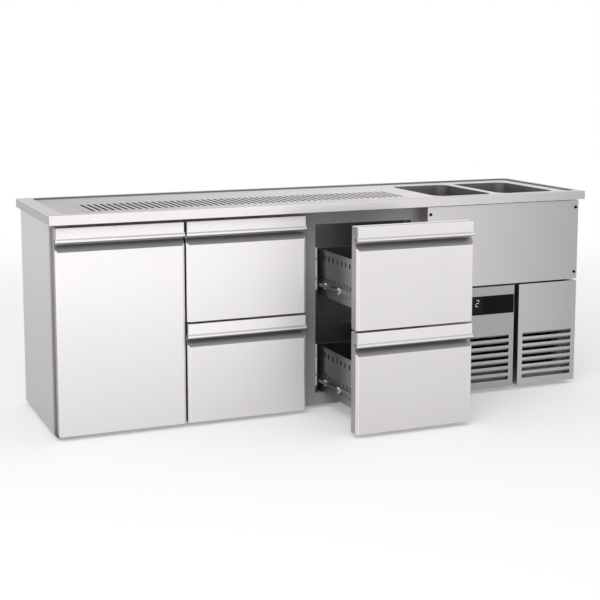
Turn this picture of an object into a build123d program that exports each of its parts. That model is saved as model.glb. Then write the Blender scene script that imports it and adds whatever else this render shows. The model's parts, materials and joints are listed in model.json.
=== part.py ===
from build123d import *

# A stainless beer counter: a sunken worktop with a slotted drip grille and two sink bowls, one
# hinged door, two stacks of two drawers on telescopic runners, and a machine bay on the right.
# Millimetres, +X to the right, +Y to the back, +Z up. "Depth" counts back from the worktop's
# front edge. The right stack is drawn out at rest, as counters are shown.

# Overall
counter_length = 2500.0
counter_depth = 700.0
counter_height = 920.0
foot_height = 14.0
side_overhang = 16.0
back_overhang = 20.0
front_setback = 27.0
body_setback = 94.0
sheet = 2.0
wall = 40.0
machine_wall = 25.0
frame_depth = 40.0
loose_fit = 0.3

# Worktop
edge_height = 38.0
edge_round = 1.5
return_width = 30.0
rim_left = 65.0
rim_front = 50.0
rim_back = 17.0
rim_right = 17.0
recess_drop = 10.0
recess_radius = 36.0

# Drip grille and pan
grille_gap_left = 120.0
grille_front = 165.0
grille_clearance = 1.0
grille_bowl_gap = 100.0
slot_pitch = 28.5
slot_width = 12.0
slot_length = 240.0
grille_end = 34.0
grille_side = 25.0
lift_hole = 9.0
pan_ledge = 12.0
pan_rim = 20.0
pan_depth = 40.0
pan_lengths = 8
pan_seam = 90.0
drain_bay = 60.0
drain_outside = 32.0
drain_length = 45.0

# Sink bowls
bowl_width = 298.0
bowl_depth = 250.0
bowl_radius = 50.0
bowl_foot_radius = 22.0
bowl_gap = 38.0
bowl_right_gap = 52.0
bowl_front = 140.0
bowl_back_gap = 25.0
bowl_flange = 10.0
waste_hole = 52.0
waste_flange = 84.0
waste_length = 70.0

# Door and drawer fronts
front_thickness = 52.0
front_bevel = 10.0
front_gap_left = 10.5
front_gap = 7.5
post_gap = 36.0
machine_gap = 13.5
front_top_gap = 14.5
front_bottom_gap = 4.0
drawer_gap = 9.0
front_overlap = 35.0
rail_overlap = 51.0
gasket_gap = 0.5
gasket_inset = 14.0
gasket_width = 16.0

# Handle profile along the top of each front
handle_depth = 26.0
handle_height = 46.0
handle_nose = 2.0
handle_end_bevel = 4.0
lip_start = 44.0
lip_proud = 4.0
lip_rise = 6.0
lip_face = 8.0
lip_curl = 3.5
lip_thickness = 9.0
lip_root = 10.0
recess_top = 70.0
recess_bottom = 98.0

# Hinges
pin_diameter = 10.0
pin_clearance = 0.08
pin_inset = 12.0
pin_depth = 36.0
pin_length = 22.0
hinge_plate = 3.0
hinge_width = 60.0
hinge_reach = 18.0
hinge_gap = 2.0

# Drawer boxes and runners
rest_pull = 430.0
box_back_gap = 27.0
box_top_drop = 160.0
box_bottom_rise = 56.0
vent_width = 14.0
vent_height = 22.0
vent_pitch = 42.0
vent_drop = 34.0
notch_size = 12.0
notch_pitch = 30.0
pierce_end = 25.0
runner_rise = 52.0
rail_height = 32.0
rail_wall = 2.0
rail_width = 10.0
rail_back_gap = 4.0
slide_thickness = 4.0
slide_height = 14.0
slide_back_gap = 66.0
slide_gap = 1.0
roller_width = 8.0
roller_clearance = 0.3
roller_end = 15.0
roller_spacing = 140.0
strip_thickness = 10.0
strip_reach = 5.0
strip_width = 22.0
strip_setback = 4.0
strip_slot_width = 8.0
strip_slot_height = 14.0
strip_slot_pitch = 32.0
strip_end = 30.0

# Shelf behind the door
shelf_rise = 360.0
shelf_wire = 6.0
shelf_wires = 11
shelf_leg = 20.0
shelf_clearance = 3.0

# Machine bay panels
panel_top_gap = 6.0
panel_split = 497.0
panel_gap = 8.0
panel_bottom_gap = 6.0
control_width = 457.0
vent_gap = 25.0
vent_panel_width = 313.5
bay_border = 20.0
bay_rail = 40.0
louvre_count = 7
louvre_pitch = 32.5
louvre_height = 21.0
louvre_rise = 32.0
louvre_margin = 24.0
vane_run = 16.0
vane_drop = 12.0
screw_head = 14.0
screw_head_height = 4.0
screw_shank = 6.0
screw_length = 12.0
screw_side = 15.0
screw_down = 33.0
display_width = 243.0
display_height = 86.0
display_proud = 2.5
display_body_depth = 30.0
display_border = 10.0
display_gap_right = 3.0
display_drop = 42.0

# Machinery
compressor_diameter = 165.0
compressor_height = 200.0
compressor_round = 40.0
compressor_plate = 190.0
compressor_plate_height = 12.0
compressor_gap = 149.5
compressor_depth = 400.0
condenser_gap = 14.25
condenser_height = 320.0
condenser_depth = 44.0
condenser_setback = 160.0
fin_pitch = 10.0
fin_thickness = 1.5
coil_diameter = 10.0
coil_rows = 6
fan_diameter = 230.0
fan_blades = 4
fan_hub = 56.0
fan_thickness = 24.0
fan_twist = 24.0
blade_width = 60.0
blade_thickness = 2.5
fan_gap = 14.0
shaft_diameter = 10.0
shaft_clearance = 0.05
motor_diameter = 84.0
motor_length = 62.0
motor_foot = 50.0
motor_gap = 6.0
evaporator_gap = 11.5
evaporator_height = 360.0
evaporator_depth = 44.0
evaporator_rise = 200.0

# Levelling feet
foot_diameter = 44.0
foot_pad = 9.0
foot_collar = 30.0
foot_inset = 24.0
foot_machine_inset = 35.5

# Frame of reference: X from the middle of the worktop, Z from the floor, Y from halfway between
# the lips of the open drawers and the worktop's back edge.
origin_depth = (front_setback - lip_proud - rest_pull + counter_depth) / 2
half_length = counter_length / 2


def at_depth(depth):
    return depth - origin_depth


# Levels
top_z = counter_height
edge_bottom = top_z - edge_height
floor_z = top_z - recess_drop
floor_under = floor_z - sheet
body_bottom = foot_height
base_top = body_bottom + wall
front_top = edge_bottom - front_top_gap
front_bottom = body_bottom + front_bottom_gap
opening_top = front_top - rail_overlap
opening_bottom = front_bottom + rail_overlap
ceiling_top = opening_top + wall
front_height = front_top - front_bottom
drawer_height = (front_height - drawer_gap) / 2

# Depths
body_back = counter_depth - back_overhang
back_inside = body_back - wall
frame_back = body_setback + frame_depth
front_back = front_setback + front_thickness
gasket_thickness = body_setback - front_back - gasket_gap
box_length = back_inside - evaporator_depth - box_back_gap - front_back

# Across: the three fronts share the length that the machine bay and the gaps leave
front_count = 3
machine_width = control_width + vent_gap + vent_panel_width
front_gaps = front_gap_left + front_gap + post_gap + machine_gap
front_width = (counter_length - 2 * side_overhang - front_gaps - machine_width) / front_count
body_left = -half_length + side_overhang
body_right = half_length - side_overhang
left_inside = body_left + wall
right_inside = body_right - machine_wall
opening_width = front_width - 2 * front_overlap
door_left = body_left + front_gap_left
centre_left = door_left + front_width + front_gap
right_left = centre_left + front_width + post_gap
machine_left = right_left + front_width + machine_gap
stile = door_left + front_overlap - left_inside
partition_left = right_left + front_width - front_overlap + stile
partition_right = partition_left + wall

stacks = {"centre": (centre_left, 0.0), "right": (right_left, rest_pull)}
levels = {"upper": front_top - drawer_height, "lower": front_bottom}


def block(x0, x1, depth0, depth1, z0, z1, mode=Mode.ADD):
    """A box between two values on each axis, with its Y values given as depths."""
    middle = ((x0 + x1) / 2, at_depth((depth0 + depth1) / 2), (z0 + z1) / 2)
    with Locations(middle):
        Box(x1 - x0, depth1 - depth0, z1 - z0, mode=mode)


def plan(z):
    """The plane at height z, with its local axes along X and Y."""
    return Plane(origin=(0, 0, z))


def side(x, depth, z):
    """The plane that looks along X: local x is depth and local y is height."""
    return Plane(origin=(x, at_depth(depth), z), x_dir=(0, 1, 0), z_dir=(1, 0, 0))


def facing(x, depth, z):
    """The plane that looks back along Y, with local x along X."""
    return Plane(origin=(x, at_depth(depth), z), x_dir=(1, 0, 0), z_dir=(0, 1, 0))


def fitting(space, width, pitch):
    """How many cuts of one width, a pitch apart, fit in a space."""
    return int((space - width) // pitch) + 1


def save(builder, name):
    builder.part.label = name
    export_step(builder.part, f"parts/{name}.step")


# Worktop
recess_left = -half_length + rim_left
recess_right = half_length - rim_right
recess_back = counter_depth - rim_back
recess_middle = ((recess_left + recess_right) / 2, at_depth((rim_front + recess_back) / 2))
recess_size = (recess_right - recess_left, recess_back - rim_front)
bowl_back = back_inside - bowl_back_gap
bowl_length = bowl_back - bowl_front
bowl_lefts = [
    recess_right - bowl_right_gap - 2 * bowl_width - bowl_gap,
    recess_right - bowl_right_gap - bowl_width,
]
grille_left = recess_left + grille_gap_left
slot_space = bowl_lefts[0] - grille_bowl_gap - grille_left - 2 * grille_end
slot_count = fitting(slot_space, slot_width, slot_pitch)
grille_length = (slot_count - 1) * slot_pitch + slot_width + 2 * grille_end
grille_width = slot_length + 2 * grille_side
grille_right = grille_left + grille_length
grille_back = grille_front + grille_width
grille_middle = ((grille_left + grille_right) / 2, at_depth((grille_front + grille_back) / 2))


def bowl_middle(left):
    return (left + bowl_width / 2, at_depth((bowl_front + bowl_back) / 2))


# The worktop is welded from three lengths, joined beside each bowl
with BuildPart() as worktop:
    block(-half_length, half_length, 0, counter_depth, edge_bottom, top_z)
    fillet(worktop.edges().group_by(Axis.Z)[-1], edge_round)
    block(
        -half_length + sheet, half_length - sheet, sheet, counter_depth - sheet,
        edge_bottom, floor_under, mode=Mode.SUBTRACT,
    )
    with BuildSketch(plan(floor_under)):
        with Locations((0, at_depth(counter_depth / 2))):
            Rectangle(counter_length - 2 * sheet, counter_depth - 2 * sheet)
        with Locations(recess_middle):
            RectangleRounded(
                recess_size[0] + 2 * sheet, recess_size[1] + 2 * sheet, recess_radius + sheet,
                mode=Mode.SUBTRACT,
            )
    extrude(amount=recess_drop, mode=Mode.SUBTRACT)
    with BuildSketch(plan(floor_z)):
        with Locations(recess_middle):
            RectangleRounded(*recess_size, recess_radius)
    extrude(amount=recess_drop, mode=Mode.SUBTRACT)
    with BuildSketch(plan(floor_under)):
        with Locations(grille_middle):
            Rectangle(grille_length + 2 * grille_clearance, grille_width + 2 * grille_clearance)
        for left in bowl_lefts:
            with Locations(bowl_middle(left)):
                RectangleRounded(bowl_width, bowl_length, bowl_radius)
    extrude(amount=sheet, mode=Mode.SUBTRACT)
    with BuildSketch(plan(edge_bottom)):
        with Locations((0, at_depth(counter_depth / 2))):
            Rectangle(counter_length - sheet, counter_depth - sheet)
        hole_front = body_setback + return_width
        hole_back = counter_depth - return_width
        with Locations((0, at_depth((hole_front + hole_back) / 2))):
            Rectangle(counter_length - 2 * return_width, hole_back - hole_front, mode=Mode.SUBTRACT)
    extrude(amount=sheet)
    for joint_x in ((grille_right + bowl_lefts[0]) / 2, bowl_lefts[1] - bowl_gap / 2):
        split(bisect_by=Plane.YZ.offset(joint_x), keep=Keep.BOTH)
save(worktop, "worktop")

with BuildPart() as drip_grille:
    with BuildSketch(plan(floor_under)):
        with Locations(grille_middle):
            Rectangle(grille_length, grille_width)
            with GridLocations(slot_pitch, slot_pitch, slot_count, 1):
                SlotOverall(slot_length, slot_width, rotation=90, mode=Mode.SUBTRACT)
            with GridLocations(
                grille_length - grille_end, grille_width - 2 * grille_side, 2, 2
            ):
                Circle(lift_hole / 2, mode=Mode.SUBTRACT)
    extrude(amount=sheet)
save(drip_grille, "drip_grille")

# The pan is welded from equal lengths of folded sheet, with one seam along its front part
with BuildPart() as drip_pan:
    pan_left = grille_left + pan_ledge
    pan_right = grille_right - pan_ledge + drain_bay
    pan_front = grille_front + pan_ledge
    pan_back = grille_back - pan_ledge
    rim_under = floor_under - sheet
    pan_bottom = rim_under - pan_depth
    block(
        grille_left - pan_rim, pan_right + pan_rim, grille_front - pan_rim, grille_back + pan_rim,
        rim_under, floor_under,
    )
    block(pan_left, pan_right, pan_front, pan_back, pan_bottom, rim_under)
    block(
        pan_left + sheet, pan_right - sheet, pan_front + sheet, pan_back - sheet,
        pan_bottom + sheet, rim_under, mode=Mode.SUBTRACT,
    )
    block(
        pan_left + sheet, grille_right - pan_ledge, pan_front + sheet, pan_back - sheet,
        rim_under, floor_under, mode=Mode.SUBTRACT,
    )
    drain_x = pan_right - drain_bay / 2
    with BuildSketch(plan(pan_bottom + sheet)):
        with Locations((drain_x, grille_middle[1])):
            Circle(drain_outside / 2)
    extrude(amount=-drain_length)
    with BuildSketch(plan(pan_bottom + sheet)):
        with Locations((drain_x, grille_middle[1])):
            Circle(drain_outside / 2 - sheet)
    extrude(amount=-drain_length, mode=Mode.SUBTRACT)
    pan_step = (pan_right - pan_left) / pan_lengths
    for joint in range(1, pan_lengths):
        split(bisect_by=Plane.YZ.offset(pan_left + joint * pan_step), keep=Keep.BOTH)
    split(bisect_by=facing(0, pan_front + pan_seam, 0), keep=Keep.BOTH)
save(drip_pan, "drip_pan")

# Sink bowls, each with a flange welded on that hangs from the underside of the worktop
for name, left in zip(("sink_left", "sink_right"), bowl_lefts):
    outer_size = (bowl_width + 2 * sheet, bowl_length + 2 * sheet)
    with BuildPart() as bowl:
        with BuildSketch(plan(floor_under)):
            with Locations(bowl_middle(left)):
                RectangleRounded(*outer_size, bowl_radius + sheet)
        extrude(amount=-bowl_depth)
        fillet(bowl.edges().group_by(Axis.Z)[0], bowl_foot_radius + sheet)
        with BuildSketch(plan(floor_under)):
            with Locations(bowl_middle(left)):
                RectangleRounded(
                    outer_size[0] + 2 * bowl_flange, outer_size[1] + 2 * bowl_flange,
                    bowl_radius + sheet + bowl_flange,
                )
        extrude(amount=-sheet)
        with BuildPart(mode=Mode.PRIVATE) as hollow:
            with BuildSketch(plan(floor_under)):
                with Locations(bowl_middle(left)):
                    RectangleRounded(bowl_width, bowl_length, bowl_radius)
            extrude(amount=sheet - bowl_depth)
            fillet(hollow.edges().group_by(Axis.Z)[0], bowl_foot_radius)
        add(hollow.part, mode=Mode.SUBTRACT)
        with BuildSketch(plan(floor_under - bowl_depth)):
            with Locations(bowl_middle(left)):
                Circle(waste_hole / 2)
        extrude(amount=sheet, mode=Mode.SUBTRACT)
        split(bisect_by=plan(floor_under - sheet), keep=Keep.BOTH)
    save(bowl, name)

with BuildPart() as sink_wastes:
    for left in bowl_lefts:
        bowl_floor = floor_under - bowl_depth + sheet
        with BuildSketch(plan(bowl_floor)):
            with Locations(bowl_middle(left)):
                Circle(waste_flange / 2)
        extrude(amount=sheet)
        with BuildSketch(plan(bowl_floor)):
            with Locations(bowl_middle(left)):
                Circle(waste_hole / 2 - loose_fit)
        extrude(amount=-waste_length)
        with BuildSketch(plan(bowl_floor + sheet)):
            with Locations(bowl_middle(left)):
                Circle(waste_hole / 2 - loose_fit - sheet)
        extrude(amount=-waste_length - sheet, mode=Mode.SUBTRACT)
save(sink_wastes, "sink_wastes")

# Cabinet walls
with BuildPart() as left_end_panel:
    block(body_left, left_inside, body_setback, body_back, body_bottom, edge_bottom)
save(left_end_panel, "left_end_panel")

with BuildPart() as right_end_panel:
    block(right_inside, body_right, body_setback, body_back, body_bottom, edge_bottom)
save(right_end_panel, "right_end_panel")

with BuildPart() as back_panel:
    block(left_inside, right_inside, back_inside, body_back, body_bottom, edge_bottom)
save(back_panel, "back_panel")

with BuildPart() as base_panel:
    block(left_inside, right_inside, frame_back, back_inside, body_bottom, base_top)
save(base_panel, "base_panel")

with BuildPart() as ceiling_panel:
    block(left_inside, partition_left, frame_back, back_inside, opening_top, ceiling_top)
save(ceiling_panel, "ceiling_panel")

with BuildPart() as machine_partition:
    block(partition_left, partition_right, frame_back, back_inside, base_top, ceiling_top)
save(machine_partition, "machine_partition")

# Front frame: rails and posts round three cold openings and the two machine openings
bay_left = partition_right + bay_border
bay_right = right_inside - bay_border
with BuildPart() as front_frame:
    block(left_inside, right_inside, body_setback, frame_back, body_bottom, edge_bottom)
    for left in (door_left, centre_left, right_left):
        block(
            left + front_overlap, left + front_overlap + opening_width, body_setback, frame_back,
            opening_bottom, opening_top, mode=Mode.SUBTRACT,
        )
    block(
        bay_left, bay_right, body_setback, frame_back,
        panel_split + bay_rail / 2, opening_top, mode=Mode.SUBTRACT,
    )
    block(
        bay_left, bay_right, body_setback, frame_back,
        opening_bottom, panel_split - bay_rail / 2, mode=Mode.SUBTRACT,
    )
save(front_frame, "front_frame")

foot_row = (
    left_inside + foot_inset, right_left - post_gap / 2,
    machine_left + control_width - foot_machine_inset, right_inside - foot_inset,
)
with BuildPart() as levelling_feet:
    for foot_x in foot_row:
        for foot_depth in (frame_back + foot_inset, back_inside - foot_inset):
            with BuildSketch(plan(0)):
                with Locations((foot_x, at_depth(foot_depth))):
                    Circle(foot_diameter / 2)
            extrude(amount=foot_pad)
            with BuildSketch(plan(foot_pad)):
                with Locations((foot_x, at_depth(foot_depth))):
                    Circle(foot_collar / 2)
            extrude(amount=foot_height - foot_pad)
save(levelling_feet, "levelling_feet")


def make_front(name, left, bottom, height, pull, bores=()):
    """A foam-filled front, with the top cut back for the fingers behind the handle."""
    with BuildPart() as front:
        with BuildSketch(side(left, front_setback - pull, bottom)):
            with BuildLine():
                Polyline(
                    (0, 0), (0, height - recess_bottom), (handle_depth, height - recess_top),
                    (handle_depth, height), (front_thickness, height), (front_thickness, 0),
                    close=True,
                )
            make_face()
        extrude(amount=front_width)
        chamfer(front.edges().filter_by(Axis.Z).group_by(Axis.Y)[0], front_bevel)
        for bore_z, bore_length in bores:
            with BuildSketch(plan(bore_z)):
                with Locations((left + pin_inset, at_depth(front_setback + pin_depth))):
                    Circle(pin_diameter / 2 + pin_clearance)
            extrude(amount=bore_length, mode=Mode.SUBTRACT)
    save(front, f"{name}_front")


def make_handle(name, left, top, pull):
    """The gripping profile: a flat band with a lip that hangs in front of the finger recess."""
    lip_top = -lip_start - lip_rise
    lip_low = lip_top - lip_face
    with BuildPart() as handle:
        with BuildSketch(side(left, front_setback - pull, top)):
            with BuildLine():
                Polyline(
                    (handle_depth, 0), (handle_nose, 0), (0, -handle_nose), (0, -lip_start),
                    (-lip_proud, lip_top), (-lip_proud, lip_low),
                    (lip_curl - lip_proud, lip_low - lip_curl),
                    (lip_thickness - lip_proud, lip_low - lip_curl),
                    (lip_root, -handle_height), (handle_depth, -handle_height),
                    close=True,
                )
            make_face()
        extrude(amount=front_width)
        band = at_depth(front_setback - pull)
        uprights = handle.edges().filter_by(Axis.Z)
        band_ends = uprights.filter_by_position(Axis.Y, band - lip_proud / 2, band + handle_nose / 2)
        chamfer(band_ends, handle_end_bevel)
    save(handle, f"{name}_handle")


def make_gasket(name, left, bottom, height, pull):
    """The seal: a ring on the back of a front that meets the frame round its opening."""
    outer = (front_width - 2 * gasket_inset, height - 2 * gasket_inset)
    centre = facing(left + front_width / 2, front_back - pull, bottom + height / 2)
    with BuildPart() as gasket:
        with BuildSketch(centre):
            Rectangle(*outer)
            Rectangle(outer[0] - 2 * gasket_width, outer[1] - 2 * gasket_width, mode=Mode.SUBTRACT)
        extrude(amount=gasket_thickness)
    save(gasket, f"{name}_gasket")


# Door, with its hinge brackets on the left
make_front(
    "door", door_left, front_bottom, front_height, 0.0,
    bores=((front_bottom, pin_length), (front_top, -pin_length)),
)
make_handle("door", door_left, front_top, 0.0)
make_gasket("door", door_left, front_bottom, front_height, 0.0)

with BuildPart() as hinge_brackets:
    hinge_left = door_left + pin_inset - hinge_reach
    hinge_front = front_setback + pin_depth - hinge_reach
    hinge_low = front_top + hinge_gap
    hinge_middle = (door_left + pin_inset, at_depth(front_setback + pin_depth))
    block(
        hinge_left, hinge_left + hinge_width, hinge_front, frame_back,
        body_bottom - hinge_plate, body_bottom,
    )
    with BuildSketch(plan(body_bottom)):
        with Locations(hinge_middle):
            Circle(pin_diameter / 2)
    extrude(amount=front_bottom_gap + pin_length - hinge_gap)
    block(
        hinge_left, hinge_left + hinge_width, hinge_front, body_setback,
        hinge_low, hinge_low + hinge_plate,
    )
    block(
        hinge_left, hinge_left + hinge_width, body_setback - hinge_plate, body_setback,
        hinge_low, edge_bottom,
    )
    with BuildSketch(plan(hinge_low)):
        with Locations(hinge_middle):
            Circle(pin_diameter / 2)
    extrude(amount=-pin_length)
save(hinge_brackets, "hinge_brackets")


def across(left, at_right, near, far):
    """Two X values at set distances in from the left or the right edge of an opening."""
    opening_left = left + front_overlap
    if at_right:
        return (opening_left + opening_width - far, opening_left + opening_width - near)
    return (opening_left + near, opening_left + far)


# Rack strips: notched uprights from the base to the ceiling, beside every cold opening
strip_depths = (frame_back + strip_setback, back_inside - strip_setback - strip_width)
strip_slot_space = opening_top - base_top - 2 * strip_end
strip_slot_count = fitting(strip_slot_space, strip_slot_height, strip_slot_pitch)
with BuildPart() as rack_strips:
    for left in (door_left, centre_left, right_left):
        for at_right in (False, True):
            x0, x1 = across(left, at_right, strip_reach - strip_thickness, strip_reach)
            for depth in strip_depths:
                with BuildSketch(side(x0, depth + strip_width / 2, (base_top + opening_top) / 2)):
                    Rectangle(strip_width, opening_top - base_top)
                    with GridLocations(strip_slot_pitch, strip_slot_pitch, 1, strip_slot_count):
                        Rectangle(strip_slot_width, strip_slot_height, mode=Mode.SUBTRACT)
                extrude(amount=x1 - x0)
save(rack_strips, "rack_strips")

# Telescopic runners, measured in from the edge of the opening
fixed_near = strip_reach
fixed_far = fixed_near + rail_width
slide_near = fixed_far + slide_gap
slide_far = slide_near + slide_thickness
drawer_near = slide_far + slide_gap
drawer_far = drawer_near + rail_width
rail_start = frame_back + strip_setback
rail_length = front_back + box_length - rail_back_gap - body_setback - slide_gap
slide_length = back_inside - slide_back_gap - body_setback - strip_reach
vent_count = fitting(box_length - 2 * pierce_end, vent_width, vent_pitch)
notch_count = fitting(box_length - 2 * pierce_end, notch_size, notch_pitch)
roller_radius = rail_height / 2 - rail_wall - roller_clearance


def channel(x_web, x_open, depth, length, middle_z):
    """A C-shaped rail: a web at x_web and two flanges that reach to x_open."""
    x0, x1 = sorted((x_web, x_open))
    web_end = x_web + rail_wall if x_open > x_web else x_web - rail_wall
    w0, w1 = sorted((web_end, x_open))
    low = middle_z - rail_height / 2
    block(x0, x1, depth, depth + length, low, low + rail_height)
    block(
        w0, w1, depth, depth + length, low + rail_wall, low + rail_height - rail_wall,
        mode=Mode.SUBTRACT,
    )


def roller(x0, x1, depth, middle_z):
    with Locations(side((x0 + x1) / 2, depth, middle_z)):
        Cylinder(roller_radius, x1 - x0)


with BuildPart() as fixed_rails:
    for left, _ in stacks.values():
        for bottom in levels.values():
            for at_right in (False, True):
                x0, x1 = across(left, at_right, fixed_near, fixed_far)
                web, mouth = (x1, x0) if at_right else (x0, x1)
                length = back_inside - strip_setback - rail_start
                channel(web, mouth, rail_start, length, bottom + box_bottom_rise + runner_rise)
save(fixed_rails, "fixed_rails")

for stack, (left, pull) in stacks.items():
    for level, bottom in levels.items():
        name = f"{stack}_{level}"
        make_front(name, left, bottom, drawer_height, pull)
        make_handle(name, left, bottom + drawer_height, pull)
        make_gasket(name, left, bottom, drawer_height, pull)
        box_left, _ = across(left, False, drawer_far, drawer_far)
        _, box_right = across(left, True, drawer_far, drawer_far)
        box_bottom = bottom + box_bottom_rise
        box_top = bottom + drawer_height - box_top_drop
        box_front = front_back - pull
        runner_z = box_bottom + runner_rise
        rail_front = body_setback + slide_gap - pull
        slide_front = body_setback + strip_reach - pull / 2
        with BuildPart() as drawer_box:
            block(box_left, box_right, box_front, box_front + box_length, box_bottom, box_top)
            block(
                box_left + sheet, box_right - sheet, box_front + sheet,
                box_front + box_length - sheet, box_bottom + sheet, box_top, mode=Mode.SUBTRACT,
            )
            box_middle_x = (box_left + box_right) / 2
            box_middle_depth = box_front + box_length / 2
            with Locations(side(box_middle_x, box_middle_depth, box_top - vent_drop)):
                with GridLocations(vent_pitch, vent_pitch, vent_count, 1):
                    Box(vent_width, vent_height, box_right - box_left, mode=Mode.SUBTRACT)
            notch_z = runner_z + rail_height / 2 + notch_size
            with Locations(side(box_middle_x, box_middle_depth, notch_z)):
                with GridLocations(notch_pitch, notch_pitch, notch_count, 1):
                    Box(notch_size, notch_size, box_right - box_left, mode=Mode.SUBTRACT)
        save(drawer_box, f"{name}_box")
        with BuildPart() as drawer_rails:
            for at_right in (False, True):
                x0, x1 = across(left, at_right, drawer_near, drawer_far)
                web, mouth = (x0, x1) if at_right else (x1, x0)
                channel(web, mouth, rail_front, rail_length, runner_z)
        save(drawer_rails, f"{name}_rails")
        with BuildPart() as slides:
            for at_right in (False, True):
                x0, x1 = across(left, at_right, slide_near, slide_far)
                low = runner_z - slide_height / 2
                block(x0, x1, slide_front, slide_front + slide_length, low, low + slide_height)
        save(slides, f"{name}_slides")
        with BuildPart() as rollers:
            slide_back = slide_front + slide_length
            for at_right in (False, True):
                inner = across(left, at_right, slide_far, slide_far + roller_width)
                outer = across(left, at_right, slide_near - roller_width, slide_near)
                for step in (0, roller_spacing):
                    roller(*inner, slide_front + roller_end + step, runner_z)
                    roller(*outer, slide_back - roller_end - step, runner_z)
        save(rollers, f"{name}_rollers")

# Wire shelf behind the door, on two angle rails hooked to the rack strips
shelf_z = base_top + shelf_rise
with BuildPart() as shelf_rails:
    for at_right in (False, True):
        x0, x1 = across(door_left, at_right, strip_reach, strip_reach + sheet)
        f0, f1 = across(door_left, at_right, strip_reach, strip_reach + shelf_leg)
        rail_end = back_inside - strip_setback
        block(x0, x1, rail_start, rail_end, shelf_z, shelf_z + shelf_leg)
        block(f0, f1, rail_start, rail_end, shelf_z, shelf_z + sheet)
save(shelf_rails, "shelf_rails")

with BuildPart() as wire_shelf:
    wire_z = shelf_z + sheet + loose_fit + shelf_wire / 2
    shelf_inset = strip_reach + sheet + shelf_clearance + shelf_wire / 2
    shelf_x0, _ = across(door_left, False, shelf_inset, shelf_inset)
    _, shelf_x1 = across(door_left, True, shelf_inset, shelf_inset)
    shelf_front = rail_start + shelf_clearance + shelf_wire / 2
    shelf_back = back_inside - strip_setback - shelf_wire
    wire_step = (shelf_x1 - shelf_x0) / (shelf_wires - 1)
    for wire in range(shelf_wires):
        with BuildSketch(facing(shelf_x0 + wire * wire_step, shelf_front, wire_z)):
            Circle(shelf_wire / 2)
        extrude(amount=shelf_back - shelf_front)
    for depth in (shelf_front + shelf_wire, (shelf_front + shelf_back) / 2, shelf_back - shelf_wire):
        with BuildSketch(side(shelf_x0, depth, wire_z)):
            Circle(shelf_wire / 2)
        extrude(amount=shelf_x1 - shelf_x0)
save(wire_shelf, "wire_shelf")


# Machine bay panels: trays of sheet that stand off the frame
def tray(x0, x1, z0, z1):
    block(x0, x1, front_setback, body_setback, z0, z1)
    block(
        x0 + sheet, x1 - sheet, front_setback + sheet, body_setback, z0 + sheet, z1 - sheet,
        mode=Mode.SUBTRACT,
    )


panel_bottom = body_bottom + panel_bottom_gap
louvre_lows = [panel_bottom + louvre_rise + row * louvre_pitch for row in range(louvre_count)]


def slots(x0, x1):
    for low in louvre_lows:
        block(
            x0, x1, front_setback, front_setback + sheet, low, low + louvre_height,
            mode=Mode.SUBTRACT,
        )


def vanes(x0, x1):
    """The slanted strips that hang behind the upper edges of the slots."""
    with BuildPart(mode=Mode.PRIVATE) as vane:
        for low in louvre_lows:
            with BuildSketch(side(x0, front_setback, low + louvre_height)):
                with BuildLine():
                    Polyline(
                        (0, 0), (vane_run, -vane_drop), (vane_run, sheet - vane_drop),
                        (sheet, sheet), (0, sheet), close=True,
                    )
                make_face()
            extrude(amount=x1 - x0)
    return vane.part


panel_top = edge_bottom - panel_top_gap
control_right = machine_left + control_width
vent_left = control_right + vent_gap
screw_spots = [
    (x, z)
    for x in (machine_left + screw_side, body_right - screw_side)
    for z in (panel_split + panel_gap + screw_down, panel_top - screw_down)
]
with BuildPart() as service_panel:
    tray(machine_left, body_right, panel_split + panel_gap, panel_top)
    for x, z in screw_spots:
        with BuildSketch(facing(x, front_setback, z)):
            Circle(screw_shank / 2 + loose_fit)
        extrude(amount=sheet, mode=Mode.SUBTRACT)
save(service_panel, "service_panel")

with BuildPart() as panel_screws:
    for x, z in screw_spots:
        with BuildSketch(facing(x, front_setback, z)):
            Circle(screw_head / 2)
        extrude(amount=-screw_head_height)
        with BuildSketch(facing(x, front_setback, z)):
            Circle(screw_shank / 2)
        extrude(amount=screw_length)
save(panel_screws, "panel_screws")

display_right = control_right - display_gap_right
display_left = display_right - display_width
display_top = panel_split - display_drop
display_bottom = display_top - display_height
with BuildPart() as control_panel:
    tray(machine_left, control_right, panel_bottom, panel_split)
    slots(machine_left + louvre_margin, control_right - louvre_margin)
    add(vanes(machine_left + louvre_margin, control_right - louvre_margin))
    block(
        display_left + display_border, display_right - display_border,
        front_setback, front_setback + sheet,
        display_bottom + display_border, display_top - display_border, mode=Mode.SUBTRACT,
    )
save(control_panel, "control_panel")

with BuildPart() as controller:
    block(
        display_left, display_right, front_setback - display_proud, front_setback,
        display_bottom, display_top,
    )
    body_border = display_border + loose_fit
    block(
        display_left + body_border, display_right - body_border,
        front_setback, front_setback + display_body_depth,
        display_bottom + body_border, display_top - body_border,
    )
save(controller, "controller")

with BuildPart() as vent_panel:
    tray(vent_left, body_right, panel_bottom, panel_split)
    slots(vent_left + louvre_margin, body_right - louvre_margin)
    add(vanes(vent_left + louvre_margin, body_right - louvre_margin))
save(vent_panel, "vent_panel")


# Machinery
def coil_block(name, middle_x, depth, low, width, height, thickness):
    """A finned heat exchanger: upright fins threaded on level tubes."""
    fin_count = int(width // fin_pitch)
    first = middle_x - (fin_count - 1) * fin_pitch / 2
    last = first + (fin_count - 1) * fin_pitch
    row_step = height / coil_rows
    with BuildPart() as coil:
        with Locations((middle_x, at_depth(depth + thickness / 2), low + height / 2)):
            with GridLocations(fin_pitch, fin_pitch, fin_count, 1):
                Box(fin_thickness, thickness, height)
        for row in range(coil_rows):
            with BuildSketch(side(first, depth + thickness / 2, low + (row + 1 / 2) * row_step)):
                Circle(coil_diameter / 2)
            extrude(amount=last - first)
    save(coil, name)


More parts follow.
